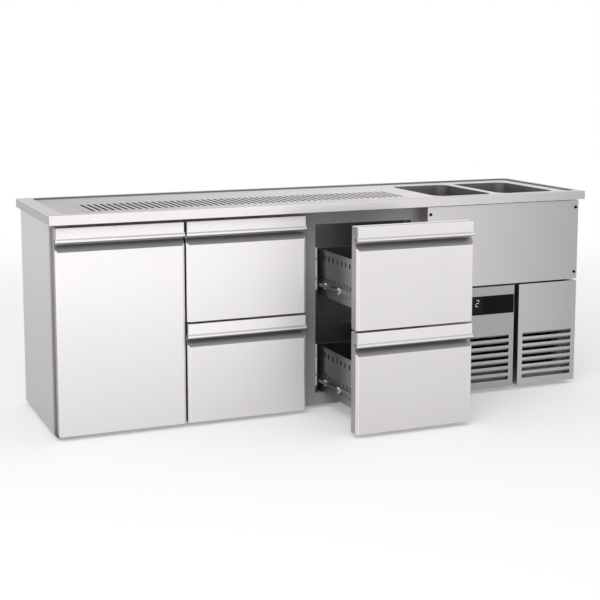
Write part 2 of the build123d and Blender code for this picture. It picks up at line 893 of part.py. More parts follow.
vent_middle = (vent_left + right_inside) / 2
condenser_width = vent_panel_width - machine_wall - 2 * condenser_gap
evaporator_width = opening_width - 2 * drawer_far - 2 * evaporator_gap
coil_block(
    "condenser", vent_middle, condenser_setback, base_top,
    condenser_width, condenser_height, condenser_depth,
)
coil_block(
    "evaporator", right_left + front_width / 2, back_inside - evaporator_depth,
    base_top + evaporator_rise, evaporator_width, evaporator_height, evaporator_depth,
)

fan_z = base_top + condenser_height / 2
fan_start = condenser_setback + condenser_depth + fan_gap
motor_start = fan_start + fan_thickness + motor_gap
with BuildPart() as fan_blade:
    with BuildSketch(facing(vent_middle, fan_start, fan_z)):
        Circle(fan_hub / 2)
    extrude(amount=fan_thickness)
    blade_length = (fan_diameter - fan_hub) / 2 + sheet
    with Locations(facing(vent_middle, fan_start + fan_thickness / 2, fan_z)):
        with PolarLocations((fan_hub + blade_length) / 2 - sheet, fan_blades):
            Box(blade_length, blade_width, blade_thickness, rotation=(fan_twist, 0, 0))
    with BuildSketch(facing(vent_middle, fan_start, fan_z)):
        Circle(shaft_diameter / 2 + shaft_clearance)
    extrude(amount=fan_thickness, mode=Mode.SUBTRACT)
save(fan_blade, "fan_blade")

with BuildPart() as fan_motor:
    with BuildSketch(facing(vent_middle, motor_start, fan_z)):
        Circle(motor_diameter / 2)
    extrude(amount=motor_length)
    with BuildSketch(facing(vent_middle, fan_start, fan_z)):
        Circle(shaft_diameter / 2)
    extrude(amount=fan_thickness + motor_gap)
    block(
        vent_middle - motor_foot / 2, vent_middle + motor_foot / 2,
        motor_start + sheet, motor_start + motor_length - sheet, base_top, fan_z,
    )
save(fan_motor, "fan_motor")

compressor_x = partition_right + compressor_gap + compressor_plate / 2
with BuildPart() as compressor:
    block(
        compressor_x - compressor_plate / 2, compressor_x + compressor_plate / 2,
        compressor_depth - compressor_plate / 2, compressor_depth + compressor_plate / 2,
        base_top, base_top + compressor_plate_height,
    )
    with BuildSketch(plan(base_top + compressor_plate_height)):
        with Locations((compressor_x, at_depth(compressor_depth))):
            Circle(compressor_diameter / 2)
    extrude(amount=compressor_height)
    fillet(compressor.edges().group_by(Axis.Z)[-1], compressor_round)
save(compressor, "compressor")
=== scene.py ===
# %% [markdown]
# # A stainless beer counter
# The real counter is a cold cabinet of folded stainless sheet: a sunken worktop with a slotted
# drip grille and two sink bowls, one door, two stacks of drawers and a machine bay. Its solids
# come ready made and already stand in their places, so each cell below only dresses them. It
# would be quicker to paint the bare solids, but sheet metal is recognised by its soft folded
# edges and its brushed grain, and a bare solid has neither.

# %% Load the solids
import json
from math import cos, degrees, pi, radians, sin, sqrt

import bmesh
import bpy
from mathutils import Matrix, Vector


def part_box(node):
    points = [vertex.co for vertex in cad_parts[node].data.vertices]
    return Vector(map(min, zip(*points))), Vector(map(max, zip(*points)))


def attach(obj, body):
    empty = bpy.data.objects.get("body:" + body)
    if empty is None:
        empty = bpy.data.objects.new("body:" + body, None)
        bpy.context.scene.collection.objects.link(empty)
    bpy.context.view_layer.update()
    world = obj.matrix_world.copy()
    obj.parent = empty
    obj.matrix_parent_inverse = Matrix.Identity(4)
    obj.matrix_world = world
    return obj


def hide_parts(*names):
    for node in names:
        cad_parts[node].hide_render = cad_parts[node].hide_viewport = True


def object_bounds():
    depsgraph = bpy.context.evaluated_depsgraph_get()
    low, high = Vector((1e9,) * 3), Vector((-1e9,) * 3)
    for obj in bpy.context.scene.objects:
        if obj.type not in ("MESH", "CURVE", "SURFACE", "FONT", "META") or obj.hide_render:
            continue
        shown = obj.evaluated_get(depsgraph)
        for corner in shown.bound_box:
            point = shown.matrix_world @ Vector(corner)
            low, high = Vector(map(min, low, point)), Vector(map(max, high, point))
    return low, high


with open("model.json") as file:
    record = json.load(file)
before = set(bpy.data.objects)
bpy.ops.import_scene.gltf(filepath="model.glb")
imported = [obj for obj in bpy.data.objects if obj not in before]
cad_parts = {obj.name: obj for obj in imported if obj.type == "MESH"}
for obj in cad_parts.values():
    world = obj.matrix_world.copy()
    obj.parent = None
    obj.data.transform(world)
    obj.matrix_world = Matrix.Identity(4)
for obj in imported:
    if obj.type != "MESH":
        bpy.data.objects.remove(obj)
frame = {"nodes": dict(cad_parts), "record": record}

cad_low, cad_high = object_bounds()
carrier = {
    node: body
    for body, nodes in frame["record"]["behaviour"]["bodies"].items()
    for node in nodes
}
drawers = [f"{stack}_{level}" for stack in ("centre", "right") for level in ("upper", "lower")]


# %% [markdown]
# ## Nodes as bricks
# Every finish and every repeated shape below is a tree of nodes. A tree can be drawn by hand in
# the node editor, but a script is easier to read again and to change. One helper adds a node and
# feeds its sockets by their labels, so a tree reads like a list of parts. A socket takes a plain
# value, an output, or a whole node, which stands for its first output.

# %% Add a node and feed its sockets
def feed(socket, value):
    """Sets a socket, or links an output or a node's first output to it."""
    if isinstance(value, bpy.types.Node):
        value = value.outputs[0]
    if isinstance(value, bpy.types.NodeSocket):
        socket.id_data.links.new(value, socket)
    else:
        socket.default_value = value


def plug(node, **sockets):
    """Feeds a node's sockets by their labels, with _ for a space."""
    for label, value in sockets.items():
        feed(node.inputs[label.replace("_", " ")], value)
    return node


def brick(tree, kind, settings=None, **sockets):
    """Adds one node to a tree."""
    node = tree.nodes.new(kind)
    for label, value in (settings or {}).items():
        setattr(node, label, value)
    return plug(node, **sockets)


print("finishes that came with the solids:", len(bpy.data.materials))


# %% [markdown]
# ## Brushed stainless
# Stainless sheet is rolled, then brushed with an abrasive belt. The belt leaves fine scratches
# that all run one way, and hands leave faint cloudy smudges. A photograph of steel would do for
# one view, but a noise texture that is squeezed across the belt and stretched along it never
# repeats and has no seams. Scratches and smudges together drive the colour and the roughness, and
# the scratches alone a little relief.

# %% Two noises make a finish
NOISE_LOW, NOISE_HIGH = 0.3, 0.7  # most of a noise lies between these


def shades(tree, noise, dark, light):
    """A ramp from a darker to a lighter shade of one colour."""
    ramp = brick(tree, "ShaderNodeValToRGB", Fac=noise)
    ends = zip(ramp.color_ramp.elements, (NOISE_LOW, NOISE_HIGH), (dark, light))
    for stop, place, shade in ends:
        stop.position = place
        stop.color = (*shade, 1.0)
    return ramp


def blank(name, **sockets):
    """A new material, its tree, its main shader, and the place of each point on its object."""
    finish = bpy.data.materials.new(name)
    finish.use_nodes = True
    tree = finish.node_tree
    place = brick(tree, "ShaderNodeTexCoord").outputs["Object"]
    return finish, tree, plug(tree.nodes["Principled BSDF"], **sockets), place


def coat(tree, shader, tone, spread, fine, cloud, share, gloss, relief):
    """Two noises, mixed by a share, drive the colour and the roughness. The fine one is relief."""
    both = brick(tree, "ShaderNodeMix", Factor=share, A=fine, B=cloud)
    dark, light = ([min(part * side, 1.0) for part in tone] for side in (1 - spread, 1 + spread))
    tint = shades(tree, both, dark, light)
    polish = brick(
        tree, "ShaderNodeMapRange", Value=both, From_Min=NOISE_LOW, From_Max=NOISE_HIGH,
        To_Min=gloss[0], To_Max=gloss[1],
    )
    bumps = brick(tree, "ShaderNodeBump", Strength=relief[0], Distance=relief[1], Height=fine)
    plug(shader, Base_Color=tint, Roughness=polish, Normal=bumps)
    return tint


print("noise is used from", NOISE_LOW, "to", NOISE_HIGH)

# %% Brushed steel
GRAIN_LONG = 4.0  # noise cells in a metre along the belt
GRAIN_FINE = 650.0  # and across it
GRAIN_RELIEF = (0.1, 0.0002)  # strength and depth of the scratches
SMUDGES, SMUDGE_SHARE = 3.2, 0.4
STEEL_GREEN, STEEL_BLUE = 0.965, 0.99  # stainless is a very slightly violet grey
STEEL_SPREAD = 0.03
SHINIER, DULLER = 0.05, 0.07  # how far the roughness strays to either side


def brushed(name, level, along="Z", rough=0.34, metal=1.0, rim=1.0, shine=0.5, painted_shade_ramp=None):
    """Brushed sheet of one brightness. Rim dims it at a glancing angle. The last argument is
    painted
    shade, a darkening towards one end: an axis, where it starts, where it ends and what is left
    there."""
    finish, tree, shader, place = blank(
        name, Metallic=metal, Specular_Tint=(rim, rim, rim, 1.0), Specular_IOR_Level=shine
    )
    belt = [GRAIN_LONG if axis == along else GRAIN_FINE for axis in "XYZ"]
    stretch = brick(tree, "ShaderNodeMapping", Vector=place, Scale=belt)
    grain = brick(tree, "ShaderNodeTexNoise", Vector=stretch, Scale=1.0, Detail=4.0, Roughness=0.6)
    smudge = brick(tree, "ShaderNodeTexNoise", Vector=place, Scale=SMUDGES, Detail=3.0)
    tone = (level, level * STEEL_GREEN, level * STEEL_BLUE)
    gloss = (rough - SHINIER, rough + DULLER)
    tint = coat(tree, shader, tone, STEEL_SPREAD, grain, smudge, SMUDGE_SHARE, gloss, GRAIN_RELIEF)
    # Painted shade: the colour is scaled down along one axis, for light that falls off across the
    # counter.
    if painted_shade_ramp:
        axis, start, end, left = painted_shade_ramp
        across = brick(tree, "ShaderNodeSeparateXYZ", Vector=place).outputs[axis]
        span = {"From_Min": start, "From_Max": end, "To_Min": 1.0, "To_Max": left}
        dim = brick(tree, "ShaderNodeMapRange", Value=across, **span)
        shade = brick(tree, "ShaderNodeVectorMath", {"operation": "SCALE"}, Vector=tint, Scale=dim)
        plug(shader, Base_Color=shade)
    return finish


print("grain is", round(GRAIN_FINE / GRAIN_LONG), "times finer across the belt than along it")


# %% [markdown]
# ## The counter's steels
# The whole counter is one grade of steel, yet each surface looks different: how it was rolled, how
# it lies to the light and how often it is wiped all change its brightness. Lamps could be tuned to
# show that, but they act on every piece at once, so each surface has a brightness of its own. Those
# brightnesses are partly the steel's own finish and partly painted light and shade: a surface in
# less light is given a darker steel, and some are darkened towards one end.

# %% A steel for each surface
# Painted shade: the fronts darken towards the bottom.
front_steel = brushed("front steel", 0.98, metal=0.25, rough=0.42, painted_shade_ramp=("Z", 0.65, 0.05, 0.8))
# Painted shade: the open fronts take a darker copy of the front steel, which also darkens towards
# the bottom.
shaded_open_front_steel = brushed("shaded open front steel", 0.84, metal=0.3, rough=0.42, painted_shade_ramp=("Z", 0.85, 0.05, 0.83))
# Painted shade: the folded sides of the fronts and the ends of the handles take a darker steel.
shaded_fold_steel = brushed("shaded folded side steel", 0.4)
# Painted shade: the finger recesses and the handles' top and under faces take a darker steel.
recess_shade_steel = brushed("shaded finger recess steel", 0.3, along="X", metal=0.6)
# Painted shade: the crease between a handle's band and its lip takes a darker steel.
crease_shade_steel = brushed("shaded handle crease steel", 0.52, along="X", metal=0.5)
handle_steel = brushed("handle steel", 0.98, along="X", metal=0.3)
# Painted shade: the open drawers' handles take a darker copy of the handle steel.
shaded_open_handle_steel = brushed("shaded open handle steel", 0.83, along="X", metal=0.3)
# Painted shade: the worktop's front edge darkens towards the right.
edge_steel = brushed("worktop edge steel", 0.91, along="X", metal=0.6, painted_shade_ramp=("X", 0.0, 1.25, 0.54))
# Painted shade: the back and right walls of the worktop's field and the walls of the grille's slots
# take a dark steel.
wall_shade_steel = brushed("shaded worktop back wall steel", 0.2, along="X")
rim_steel = brushed("worktop rim steel", 0.62, along="X", rim=0.85)
# Painted shade: the worktop's end faces take a darker steel.
return_shade_steel = brushed("shaded worktop end steel", 0.38, along="Y")
# Painted shade: the field darkens towards the left.
field_steel = brushed(
    "worktop field steel", 0.95, along="X", metal=0.45, rim=0.3, shine=0.0,
    painted_shade_ramp=("X", 0.4, -1.1, 0.66),
)
# Painted shade: the end and back panels take a darker steel than the fronts, and darken towards the
# bottom.
shell_shade_steel = brushed("shaded end panel steel", 0.56, painted_shade_ramp=("Z", 0.7, 0.05, 0.84))
# Painted shade: the machine panels darken towards the right.
panel_steel = brushed("machine panel steel", 0.88, painted_shade_ramp=("X", -0.3, 1.2, 0.5))
# Painted shade: the control panel takes a darker steel than the other machine panels.
control_shade_steel = brushed("shaded control panel steel", 0.4)
# Painted shade: the louvre vanes take a steel of their own, darker than the vent panel's face.
vane_shade_steel = brushed("shaded louvre vane steel", 0.62, along="X", metal=0.2)
frame_steel = brushed("frame steel", 0.36, metal=0.25)
inner_steel = brushed("drawer steel", 0.36, along="Y")
# Painted shade: the inner faces of the drawer boxes and the drip pan under the grille take a dark
# steel.
inside_shade_steel = brushed("shaded drawer inside steel", 0.14, along="Y")
# Painted light: the rack strips and their flanges take a brighter steel than the other inner steel.
strip_lit_steel = brushed("lit rack strip steel", 0.85, metal=0.4)
liner_steel = brushed("liner steel", 0.5, metal=0.3)
sink_steel = brushed("bowl steel", 0.42, along="X", rough=0.3)
# Partly rubbed bright and partly a painted highlight: the edges given this steel catch a line of
# light.
worn_highlit_edge = brushed("worn and highlit steel edge", 0.92, rough=0.26)
dull_edge = brushed("dull steel edge", 0.5, rough=0.3)
print("finishes with the steels:", len(bpy.data.materials))


# %% [markdown]
# ## The other finishes
# Rubber seals, nylon rollers, plastic feet and painted housings are all moulded or sprayed. Their
# skin is never one flat colour: it has a fine speckle and small pits. One helper gives that skin
# from two noises, and each finish only says its colour, how rough it is and how coarse it looks.
# Chrome, aluminium and copper take it too, as metals.

# %% Moulded and painted skins
CLOUD_SIZE = 20  # a cloud is as wide as this many speckles
PIT_STRENGTH, GLOSS_SPREAD, GLOSSIEST = 0.2, 0.06, 0.03


def skin(name, colour, rough, speckle, pit=0.0003, metallic=0.0, spread=0.15, shine=0.5):
    """A finish with a fine speckle, soft clouds and small pits."""
    finish, tree, shader, place = blank(name, Metallic=metallic, Specular_IOR_Level=shine)
    fine = brick(tree, "ShaderNodeTexNoise", Vector=place, Scale=speckle, Detail=4.0)
    cloud = brick(tree, "ShaderNodeTexNoise", Vector=place, Scale=speckle / CLOUD_SIZE, Detail=2.0)
    gloss = (max(rough - GLOSS_SPREAD, GLOSSIEST), rough + GLOSS_SPREAD)
    coat(tree, shader, colour, spread, fine, cloud, 0.5, gloss, (PIT_STRENGTH, pit))
    return finish


seal_rubber = skin("seal rubber", (0.03, 0.03, 0.032), 0.55, 500.0)
roller_nylon = skin("roller nylon", (0.8, 0.8, 0.78), 0.35, 700.0, spread=0.05)
foot_plastic = skin("foot plastic", (0.03, 0.03, 0.03), 0.5, 600.0)
screw_black = skin("blackened screw", (0.004, 0.004, 0.004), 0.4, 900.0, shine=0.05)
bezel_plastic = skin("display bezel", (0.006, 0.006, 0.007), 0.3, 900.0, pit=0.0001, shine=0.06)
window_gloss = skin("display window", (0.009, 0.009, 0.01), 0.1, 60.0, pit=0.00002, shine=0.12)
chrome = skin("waste chrome", (0.7, 0.7, 0.71), 0.14, 300.0, pit=0.00005, metallic=1.0, spread=0.05)
compressor_paint = skin("compressor paint", (0.025, 0.025, 0.027), 0.4, 250.0)
motor_paint = skin("motor paint", (0.2, 0.2, 0.21), 0.45, 300.0)
fin_aluminium = skin("fin aluminium", (0.85, 0.82, 0.84), 0.4, 200.0, metallic=0.2)
blade_aluminium = skin("blade aluminium", (0.5, 0.5, 0.51), 0.32, 200.0, metallic=1.0)
tube_copper = skin("tube copper", (0.2, 0.11, 0.07), 0.4, 200.0, metallic=1.0)
print("finishes:", len(bpy.data.materials))


# %% [markdown]
# ## Folded sheet with soft edges
# A press brake folds sheet round a small radius, so no edge of the counter is knife sharp: each
# one catches a thin line of light. The solids have sharp corners. Modelling every fold by hand
# would be slow, so a copy of each solid is merged, its flat triangles are dissolved into whole
# faces, and a Bevel modifier rounds what is still sharp. The rounded strips get a more polished
# finish, because cleaning cloths and bottles rub the edges first. Where they take the bright edge
# steel, its brightness is partly that rubbing and partly a painted highlight for the line of light
# that an edge catches.

# %% From a shape to a piece
def link_in(name, data):
    """A new object at the origin that shows a mesh, or is a lamp or a camera."""
    piece = bpy.data.objects.new(name, data)
    bpy.context.scene.collection.objects.link(piece)
    return piece


def as_mesh(name, shape, *finishes):
    """Turns a shape into a mesh that has the given finishes."""
    mesh = bpy.data.meshes.new(name)
    shape.to_mesh(mesh)
    shape.free()
    for finish in finishes:
        mesh.materials.append(finish)
    return mesh


def smoothed(mesh, angle):
    """Shades a mesh smoothly, up to edges that are sharper than an angle."""
    mesh.shade_smooth()
    mesh.set_sharp_from_angle(angle=angle)
    return mesh


def plain(piece):
    """Turns what the modifiers make into the piece's own mesh."""
    seen = piece.evaluated_get(bpy.context.evaluated_depsgraph_get())
    made = bpy.data.meshes.new_from_object(seen)
    piece.modifiers.clear()
    old, piece.data = piece.data, made
    bpy.data.meshes.remove(old)
    return piece


# %% Merge a solid's triangles
MERGE = 1e-5
SQUARE, ALIKE = 0.999, 0.01  # how square a joint face is, and how like its partner in area


def drop_joints(shape):
    """Deletes the inner faces where two welded lengths of one piece touch."""
    walls = {}
    for face in shape.faces:
        for axis in (0, 1):
            if abs(face.normal[axis]) > SQUARE:
                level = round(face.calc_center_median()[axis], 4)
                walls.setdefault((axis, level), []).append((face, face.normal[axis] > 0))
    inner = []
    for pairs in walls.values():
        ahead = sum(face.calc_area() for face, forward in pairs if forward)
        behind = sum(face.calc_area() for face, forward in pairs if not forward)
        if ahead and abs(ahead - behind) < ALIKE * ahead:
            inner.extend(face for face, _ in pairs)
    bmesh.ops.delete(shape, geom=inner, context="FACES")
    return len(inner)


def merged(node, welded=False):
    """A copy of a solid's loose triangles, joined at their corners."""
    shape = bmesh.new()
    shape.from_mesh(frame["nodes"][node].data)
    if welded:
        print(node, "inner joint faces dropped:", drop_joints(shape))
    bmesh.ops.remove_doubles(shape, verts=shape.verts, dist=MERGE)
    return shape


print("corners are merged within", MERGE, "m")

# %% Round the edges of a copy
FLAT, SHARP, CREASE = radians(0.3), radians(25), radians(20)
FOLD_STEPS = 2
THIN_EDGE = 0.0005  # the fold of thin sheet, for the inner pieces


def round_edges(piece, width):
    """Bevels a piece. A rounded strip is smooth but ends sharply, so broad faces stay flat."""
    fold = piece.modifiers.new("fold", "BEVEL")
    fold.width = width
    fold.segments = FOLD_STEPS
    fold.limit_method = "ANGLE"
    fold.angle_limit = SHARP
    fold.material = 1
    mesh = smoothed(plain(piece).data, CREASE)
    sides = {}
    for face in mesh.polygons:
        for key in face.edge_keys:
            sides.setdefault(key, set()).add(face.material_index == 1)
    for edge in mesh.edges:
        if True in sides[edge.key]:
            edge.use_edge_sharp = False in sides[edge.key]
    return piece


def settle(piece, body, slot, *nodes):
    """The piece rides on a body and stands for its solids. The slot is not used."""
    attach(piece, body)
    if nodes:
        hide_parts(*nodes)
    return piece


def folded(node, slot, finish, edge=dull_edge, width=THIN_EDGE, welded=False):
    """A soft-edged copy of a solid, in its place and on its body."""
    shape = merged(node, welded)
    bmesh.ops.dissolve_limit(shape, angle_limit=FLAT, verts=shape.verts, edges=shape.edges)
    mesh = as_mesh(node, shape, finish, edge)
    mesh.attributes.remove(mesh.attributes["custom_normal"])
    piece = round_edges(link_in(f"{node}_sheet", mesh), width)
    return settle(piece, carrier[node], slot, node)


def refinish(piece, finish, rule):
    """Gives another finish to the faces that meet a rule."""
    piece.data.materials.append(finish)
    index = len(piece.data.materials) - 1
    chosen = [face for face in piece.data.polygons if rule(face)]
    for face in chosen:
        face.material_index = index
    return len(chosen)


print("edges are rounded above", round(degrees(SHARP)), "degrees")


# %% [markdown]
# ## Door, drawer fronts and handles
# A front is a foam-filled tray with a grip along its top: a flat band, a lip that hangs forward
# and a hollow for the fingers behind it. The broad faces are polished brightest. The folded sides,
# the hollow, the crease under the band and the handle's ends, top and under faces take darker
# steels, as painted shade, and so do the fronts that stand open: the faces are told apart by the
# way they point and where they lie, which needs no drawing at all.

# %% Fronts and handles
SIDEWAYS, UPWARDS = 0.9, 0.3
RECESS_DEEP = 0.015
FRONT_EDGE, HANDLE_EDGE = 0.0012, 0.0007
fronts = ["door", *drawers]
for name in fronts:
    stands_open = name.startswith("right")
    # The fronts that stand open take darker steels: painted shade.
    face_steel = shaded_open_front_steel if stands_open else front_steel
    grip_steel = shaded_open_handle_steel if stands_open else handle_steel
    front = folded(f"{name}_front", "front", face_steel, worn_highlit_edge, FRONT_EDGE)
    front_low, front_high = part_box(f"{name}_front")
    recess_top = front_high.z - RECESS_DEEP
    # Painted shade: the folded sides take a darker steel.
    refinish(front, shaded_fold_steel, lambda face: abs(face.normal.x) > SIDEWAYS)
    # Painted shade: the finger recess takes a darker steel.
    refinish(
        front, recess_shade_steel,
        lambda face: abs(face.normal.x) < SIDEWAYS and face.center.z < recess_top
        and (face.normal.z > UPWARDS
             or face.normal.y < -SIDEWAYS and face.center.y > front_low.y + RECESS_DEEP),
    )
    handle = folded(f"{name}_handle", "handle", grip_steel, worn_highlit_edge, HANDLE_EDGE)
    # Painted shade: the handle's ends take a darker steel.
    refinish(handle, shaded_fold_steel, lambda face: abs(face.normal.x) > UPWARDS)
    # Painted shade: the handle's top and under faces take the darker recess steel.
    refinish(handle, recess_shade_steel, lambda face: not -UPWARDS <= face.normal.z <= SIDEWAYS)
    # Painted shade: the crease under the handle's band takes a darker steel.
    refinish(
        handle, crease_shade_steel,
        lambda face: UPWARDS < face.normal.z < SIDEWAYS and face.center.z < recess_top,
    )
print("fronts and handles:", 2 * len(fronts))


# %% [markdown]
# ## The cabinet shell
# The shell is made of plain folded trays: two ends and a back outside, a base, a ceiling and a
# partition inside, and a frame round the openings. Nobody polishes these edges, so they take the
# dull one. One loop dresses each group, since only the finish differs.

# %% Cabinet shell
SHELL_EDGE = 0.0015
# Painted shade: the end and back panels take a darker steel than the fronts.
for node in ("left_end_panel", "right_end_panel", "back_panel"):
    folded(node, "side", shell_shade_steel, width=SHELL_EDGE)
for node in ("base_panel", "ceiling_panel", "machine_partition"):
    folded(node, "liner", liner_steel, width=SHELL_EDGE)
folded("front_frame", "frame", frame_steel, width=FRONT_EDGE)
folded("hinge_brackets", "inner_steel", inner_steel)


# %% [markdown]
# ## The worktop
# The worktop is one pressed sheet: a bright rim with turned-down edges round a sunken field. The
# field is wiped and scratched all day, so it is duller than the rim. Its ends and the back and
# right walls of the field take darker steels, and its front edge darkens towards the right and the
# field towards the left: all of that is painted shade. Two separate objects would leave a seam, so
# the mesh stays whole and only its faces say which finish they take.

# %% Worktop
WORKTOP_EDGE = 0.0008
RIM_LEVEL = cad_high.z - 0.003
RECESS_INSET = 0.012
WALL_BAND, WALL_RISE = 0.056, 0.006
worktop = folded("worktop", "steel", edge_steel, worn_highlit_edge, WORKTOP_EDGE, welded=True)
top_low, top_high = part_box("worktop")


def in_field(face):
    """True for the sunken field, its walls and what lies under them."""
    return face.center.z < RIM_LEVEL and all(
        top_low[axis] + RECESS_INSET < face.center[axis] < top_high[axis] - RECESS_INSET
        for axis in (0, 1)
    )


# Painted shade: the worktop's end faces take a darker steel.
ends = refinish(worktop, return_shade_steel, lambda face: abs(face.normal.x) > SIDEWAYS)
rims = refinish(
    worktop, rim_steel, lambda face: face.normal.z > SIDEWAYS and face.center.z > RIM_LEVEL
)
field = refinish(worktop, field_steel, in_field)
# Painted shade: the back and right walls of the field take a dark steel.
walls = refinish(
    worktop, wall_shade_steel,
    lambda face: in_field(face) and face.center.z > RIM_LEVEL - WALL_RISE and (
        face.normal.y < -UPWARDS and face.center.y > top_high.y - WALL_BAND
        or face.normal.x < -UPWARDS and face.center.x > top_high.x - WALL_BAND
    ),
)
print("worktop faces, ends:", ends, "rim:", rims, "field:", field, "walls:", walls)


# %% [markdown]
# ## Geometry Nodes for what repeats
# Slots, rollers, screws, feet, fins and wires are each one small shape many times over. Copying
# objects would work, but a node tree says the rule itself: how many, how far apart, how thick.
# The helpers below make a tree with named inputs, grow a piece from it and turn the result into a
# plain mesh, because a finished part shouldn't depend on its tree.

# %% Trees and their parts
WELD = 0.00005


def fill(node, *values):
    """Feeds a node's sockets in their order."""
    for socket, value in zip(node.inputs, values):
        feed(socket, value)
    return node


def reckon(tree, operation, *numbers):
    """The result of a Math node."""
    return fill(brick(tree, "ShaderNodeMath", {"operation": operation}), *numbers).outputs[0]


def new_tree(name, **labels):
    """A tree with inputs of each kind, by their labels, and the outputs that hand them on."""
    tree = bpy.data.node_groups.new(name, "GeometryNodeTree")
    for kind, group in {"Geometry": ["Geometry"], **labels, "Material": ["Finish"]}.items():
        for label in group:
            tree.interface.new_socket(label, in_out="INPUT", socket_type=f"NodeSocket{kind}")
    tree.interface.new_socket("Geometry", in_out="OUTPUT", socket_type="NodeSocketGeometry")
    return tree, brick(tree, "NodeGroupInput").outputs


def finish_tree(tree, size, last):
    """Ends a tree: instances become real, and the mesh takes its material."""
    real = brick(tree, "GeometryNodeRealizeInstances", Geometry=last)
    paint = brick(tree, "GeometryNodeSetMaterial", Geometry=real, Material=size["Finish"])
    brick(tree, "NodeGroupOutput", Geometry=paint)
    return tree


def spread(tree, points, piece, **more):
    """Sets a piece at every point."""
    return brick(tree, "GeometryNodeInstanceOnPoints", Points=points, Instance=piece, **more)


def row_along_x(tree, count, first, pitch):
    """Points in a row, from the first one on."""
    step = brick(tree, "ShaderNodeCombineXYZ", X=pitch)
    return brick(tree, "GeometryNodeMeshLine", Count=count, Start_Location=first, Offset=step)


def join(tree, *parts):
    """Several shapes as one."""
    together = brick(tree, "GeometryNodeJoinGeometry")
    for part in parts:
        feed(together.inputs[0], part)
    return together


def thicken(tree, sheet, thickness):
    """A sheet with a thickness: a copy is lifted off, and the turned sheet closes it below."""
    rise = brick(
        tree, "GeometryNodeExtrudeMesh", Mesh=sheet, Offset_Scale=thickness, Individual=False
    )
    both = join(tree, rise, brick(tree, "GeometryNodeFlipFaces", Mesh=sheet))
    return brick(tree, "GeometryNodeMergeByDistance", Geometry=both, Distance=WELD)


def cut_plate(tree, thickness, *curves):
    """A plate between curves: the first is its edge, and the others are its holes."""
    outline = brick(tree, "GeometryNodeRealizeInstances", Geometry=join(tree, *curves))
    return thicken(tree, brick(tree, "GeometryNodeFillCurve", Curve=outline), thickness)


print("corners closer than", WELD, "m are welded")

# %% Grow a piece from a tree
def grow(name, tree, base=None, **sizes):
    """A plain mesh grown from a tree, with the tree's inputs given by their labels."""
    piece = link_in(name, base or bpy.data.meshes.new(name))
    growth = piece.modifiers.new("growth", "NODES")
    growth.node_group = tree
    wanted = {label.replace("_", " "): value for label, value in sizes.items()}
    for socket in tree.interface.items_tree:
        if socket.item_type == "SOCKET" and socket.in_out == "INPUT" and socket.name in wanted:
            growth[socket.identifier] = wanted[socket.name]
    return plain(piece)


print("trees before the first:", len(bpy.data.node_groups))


# %% [markdown]
# ## The drip grille
# The grille is a flat plate with a row of long punched slots and a lift hole near each corner. A
# Boolean for every slot is slow and leaves messy faces. Filling a flat outline is cleaner: the
# plate's rectangle, the slots and the holes are all curves, Fill Curve makes the sheet between
# them, and an extrusion gives its thickness.

# %% A tree for plates with slots
SLOT_END = 0.499  # radius of a slot's end, as a share of its width
BEND_STEPS, HOLE_SIDES = 5, 12
RECTANGLE = "GeometryNodeCurvePrimitiveQuadrilateral"
CIRCLE = "GeometryNodeCurvePrimitiveCircle"


def bent(tree, curve, radius):
    """A curve with rounded corners."""
    return brick(
        tree, "GeometryNodeFilletCurve", {"mode": "POLY"},
        Curve=curve, Radius=radius, Count=BEND_STEPS, Limit_Radius=True,
    )


def slotted_plate():
    tree, size = new_tree(
        "slotted plate", Int=["Slot Count"], Vector=["Centre"], Rotation=["Turn"],
        Float=["Length", "Width", "Thickness", "Slot Pitch", "Slot Width", "Slot Length",
               "Lift Hole", "Lift Span", "Lift Reach"],
    )
    plate = brick(tree, RECTANGLE, Width=size["Length"], Height=size["Width"])
    slot = brick(tree, RECTANGLE, Width=size["Slot Width"], Height=size["Slot Length"])
    slot = bent(tree, slot, reckon(tree, "MULTIPLY", size["Slot Width"], SLOT_END))
    gaps = reckon(tree, "SUBTRACT", size["Slot Count"], 1.0)
    first = reckon(tree, "MULTIPLY", reckon(tree, "MULTIPLY", gaps, size["Slot Pitch"]), -0.5)
    start = brick(tree, "ShaderNodeCombineXYZ", X=first)
    row = row_along_x(tree, size["Slot Count"], start, size["Slot Pitch"])
    corners = brick(tree, RECTANGLE, Width=size["Lift Span"], Height=size["Lift Reach"])
    hole = brick(tree, CIRCLE, Radius=size["Lift Hole"], Resolution=HOLE_SIDES)
    punched = spread(tree, row, slot)
    drilled = spread(tree, corners, hole)
    pierced = cut_plate(tree, size["Thickness"], plate, punched, drilled)
    placed = brick(
        tree, "GeometryNodeTransform",
        Geometry=pierced, Translation=size["Centre"], Rotation=size["Turn"],
    )
    return finish_tree(tree, size, placed)


plate_tree = slotted_plate()
print("nodes in the plate's tree:", len(plate_tree.nodes))

# %% The grille
SLOT_COUNT, SLOT_PITCH, SLOT_WIDTH, SLOT_LENGTH = 51, 0.0285, 0.012, 0.24
LIFT_HOLE = 0.0045
LIFT_INSET = Vector((0.017, 0.025, 0.0))
grille_low, grille_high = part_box("drip_grille")
grille_size = grille_high - grille_low
grille_middle = (grille_low + grille_high) / 2
grille = grow(
    "drip_grille_plate", plate_tree,
    Length=grille_size.x, Width=grille_size.y, Thickness=grille_size.z,
    Slot_Count=SLOT_COUNT, Slot_Pitch=SLOT_PITCH, Slot_Width=SLOT_WIDTH, Slot_Length=SLOT_LENGTH,
    Lift_Hole=LIFT_HOLE, Lift_Span=grille_size.x - 2 * LIFT_INSET.x,
    Lift_Reach=grille_size.y - 2 * LIFT_INSET.y,
    Centre=(grille_middle.x, grille_middle.y, grille_low.z), Finish=field_steel,
)
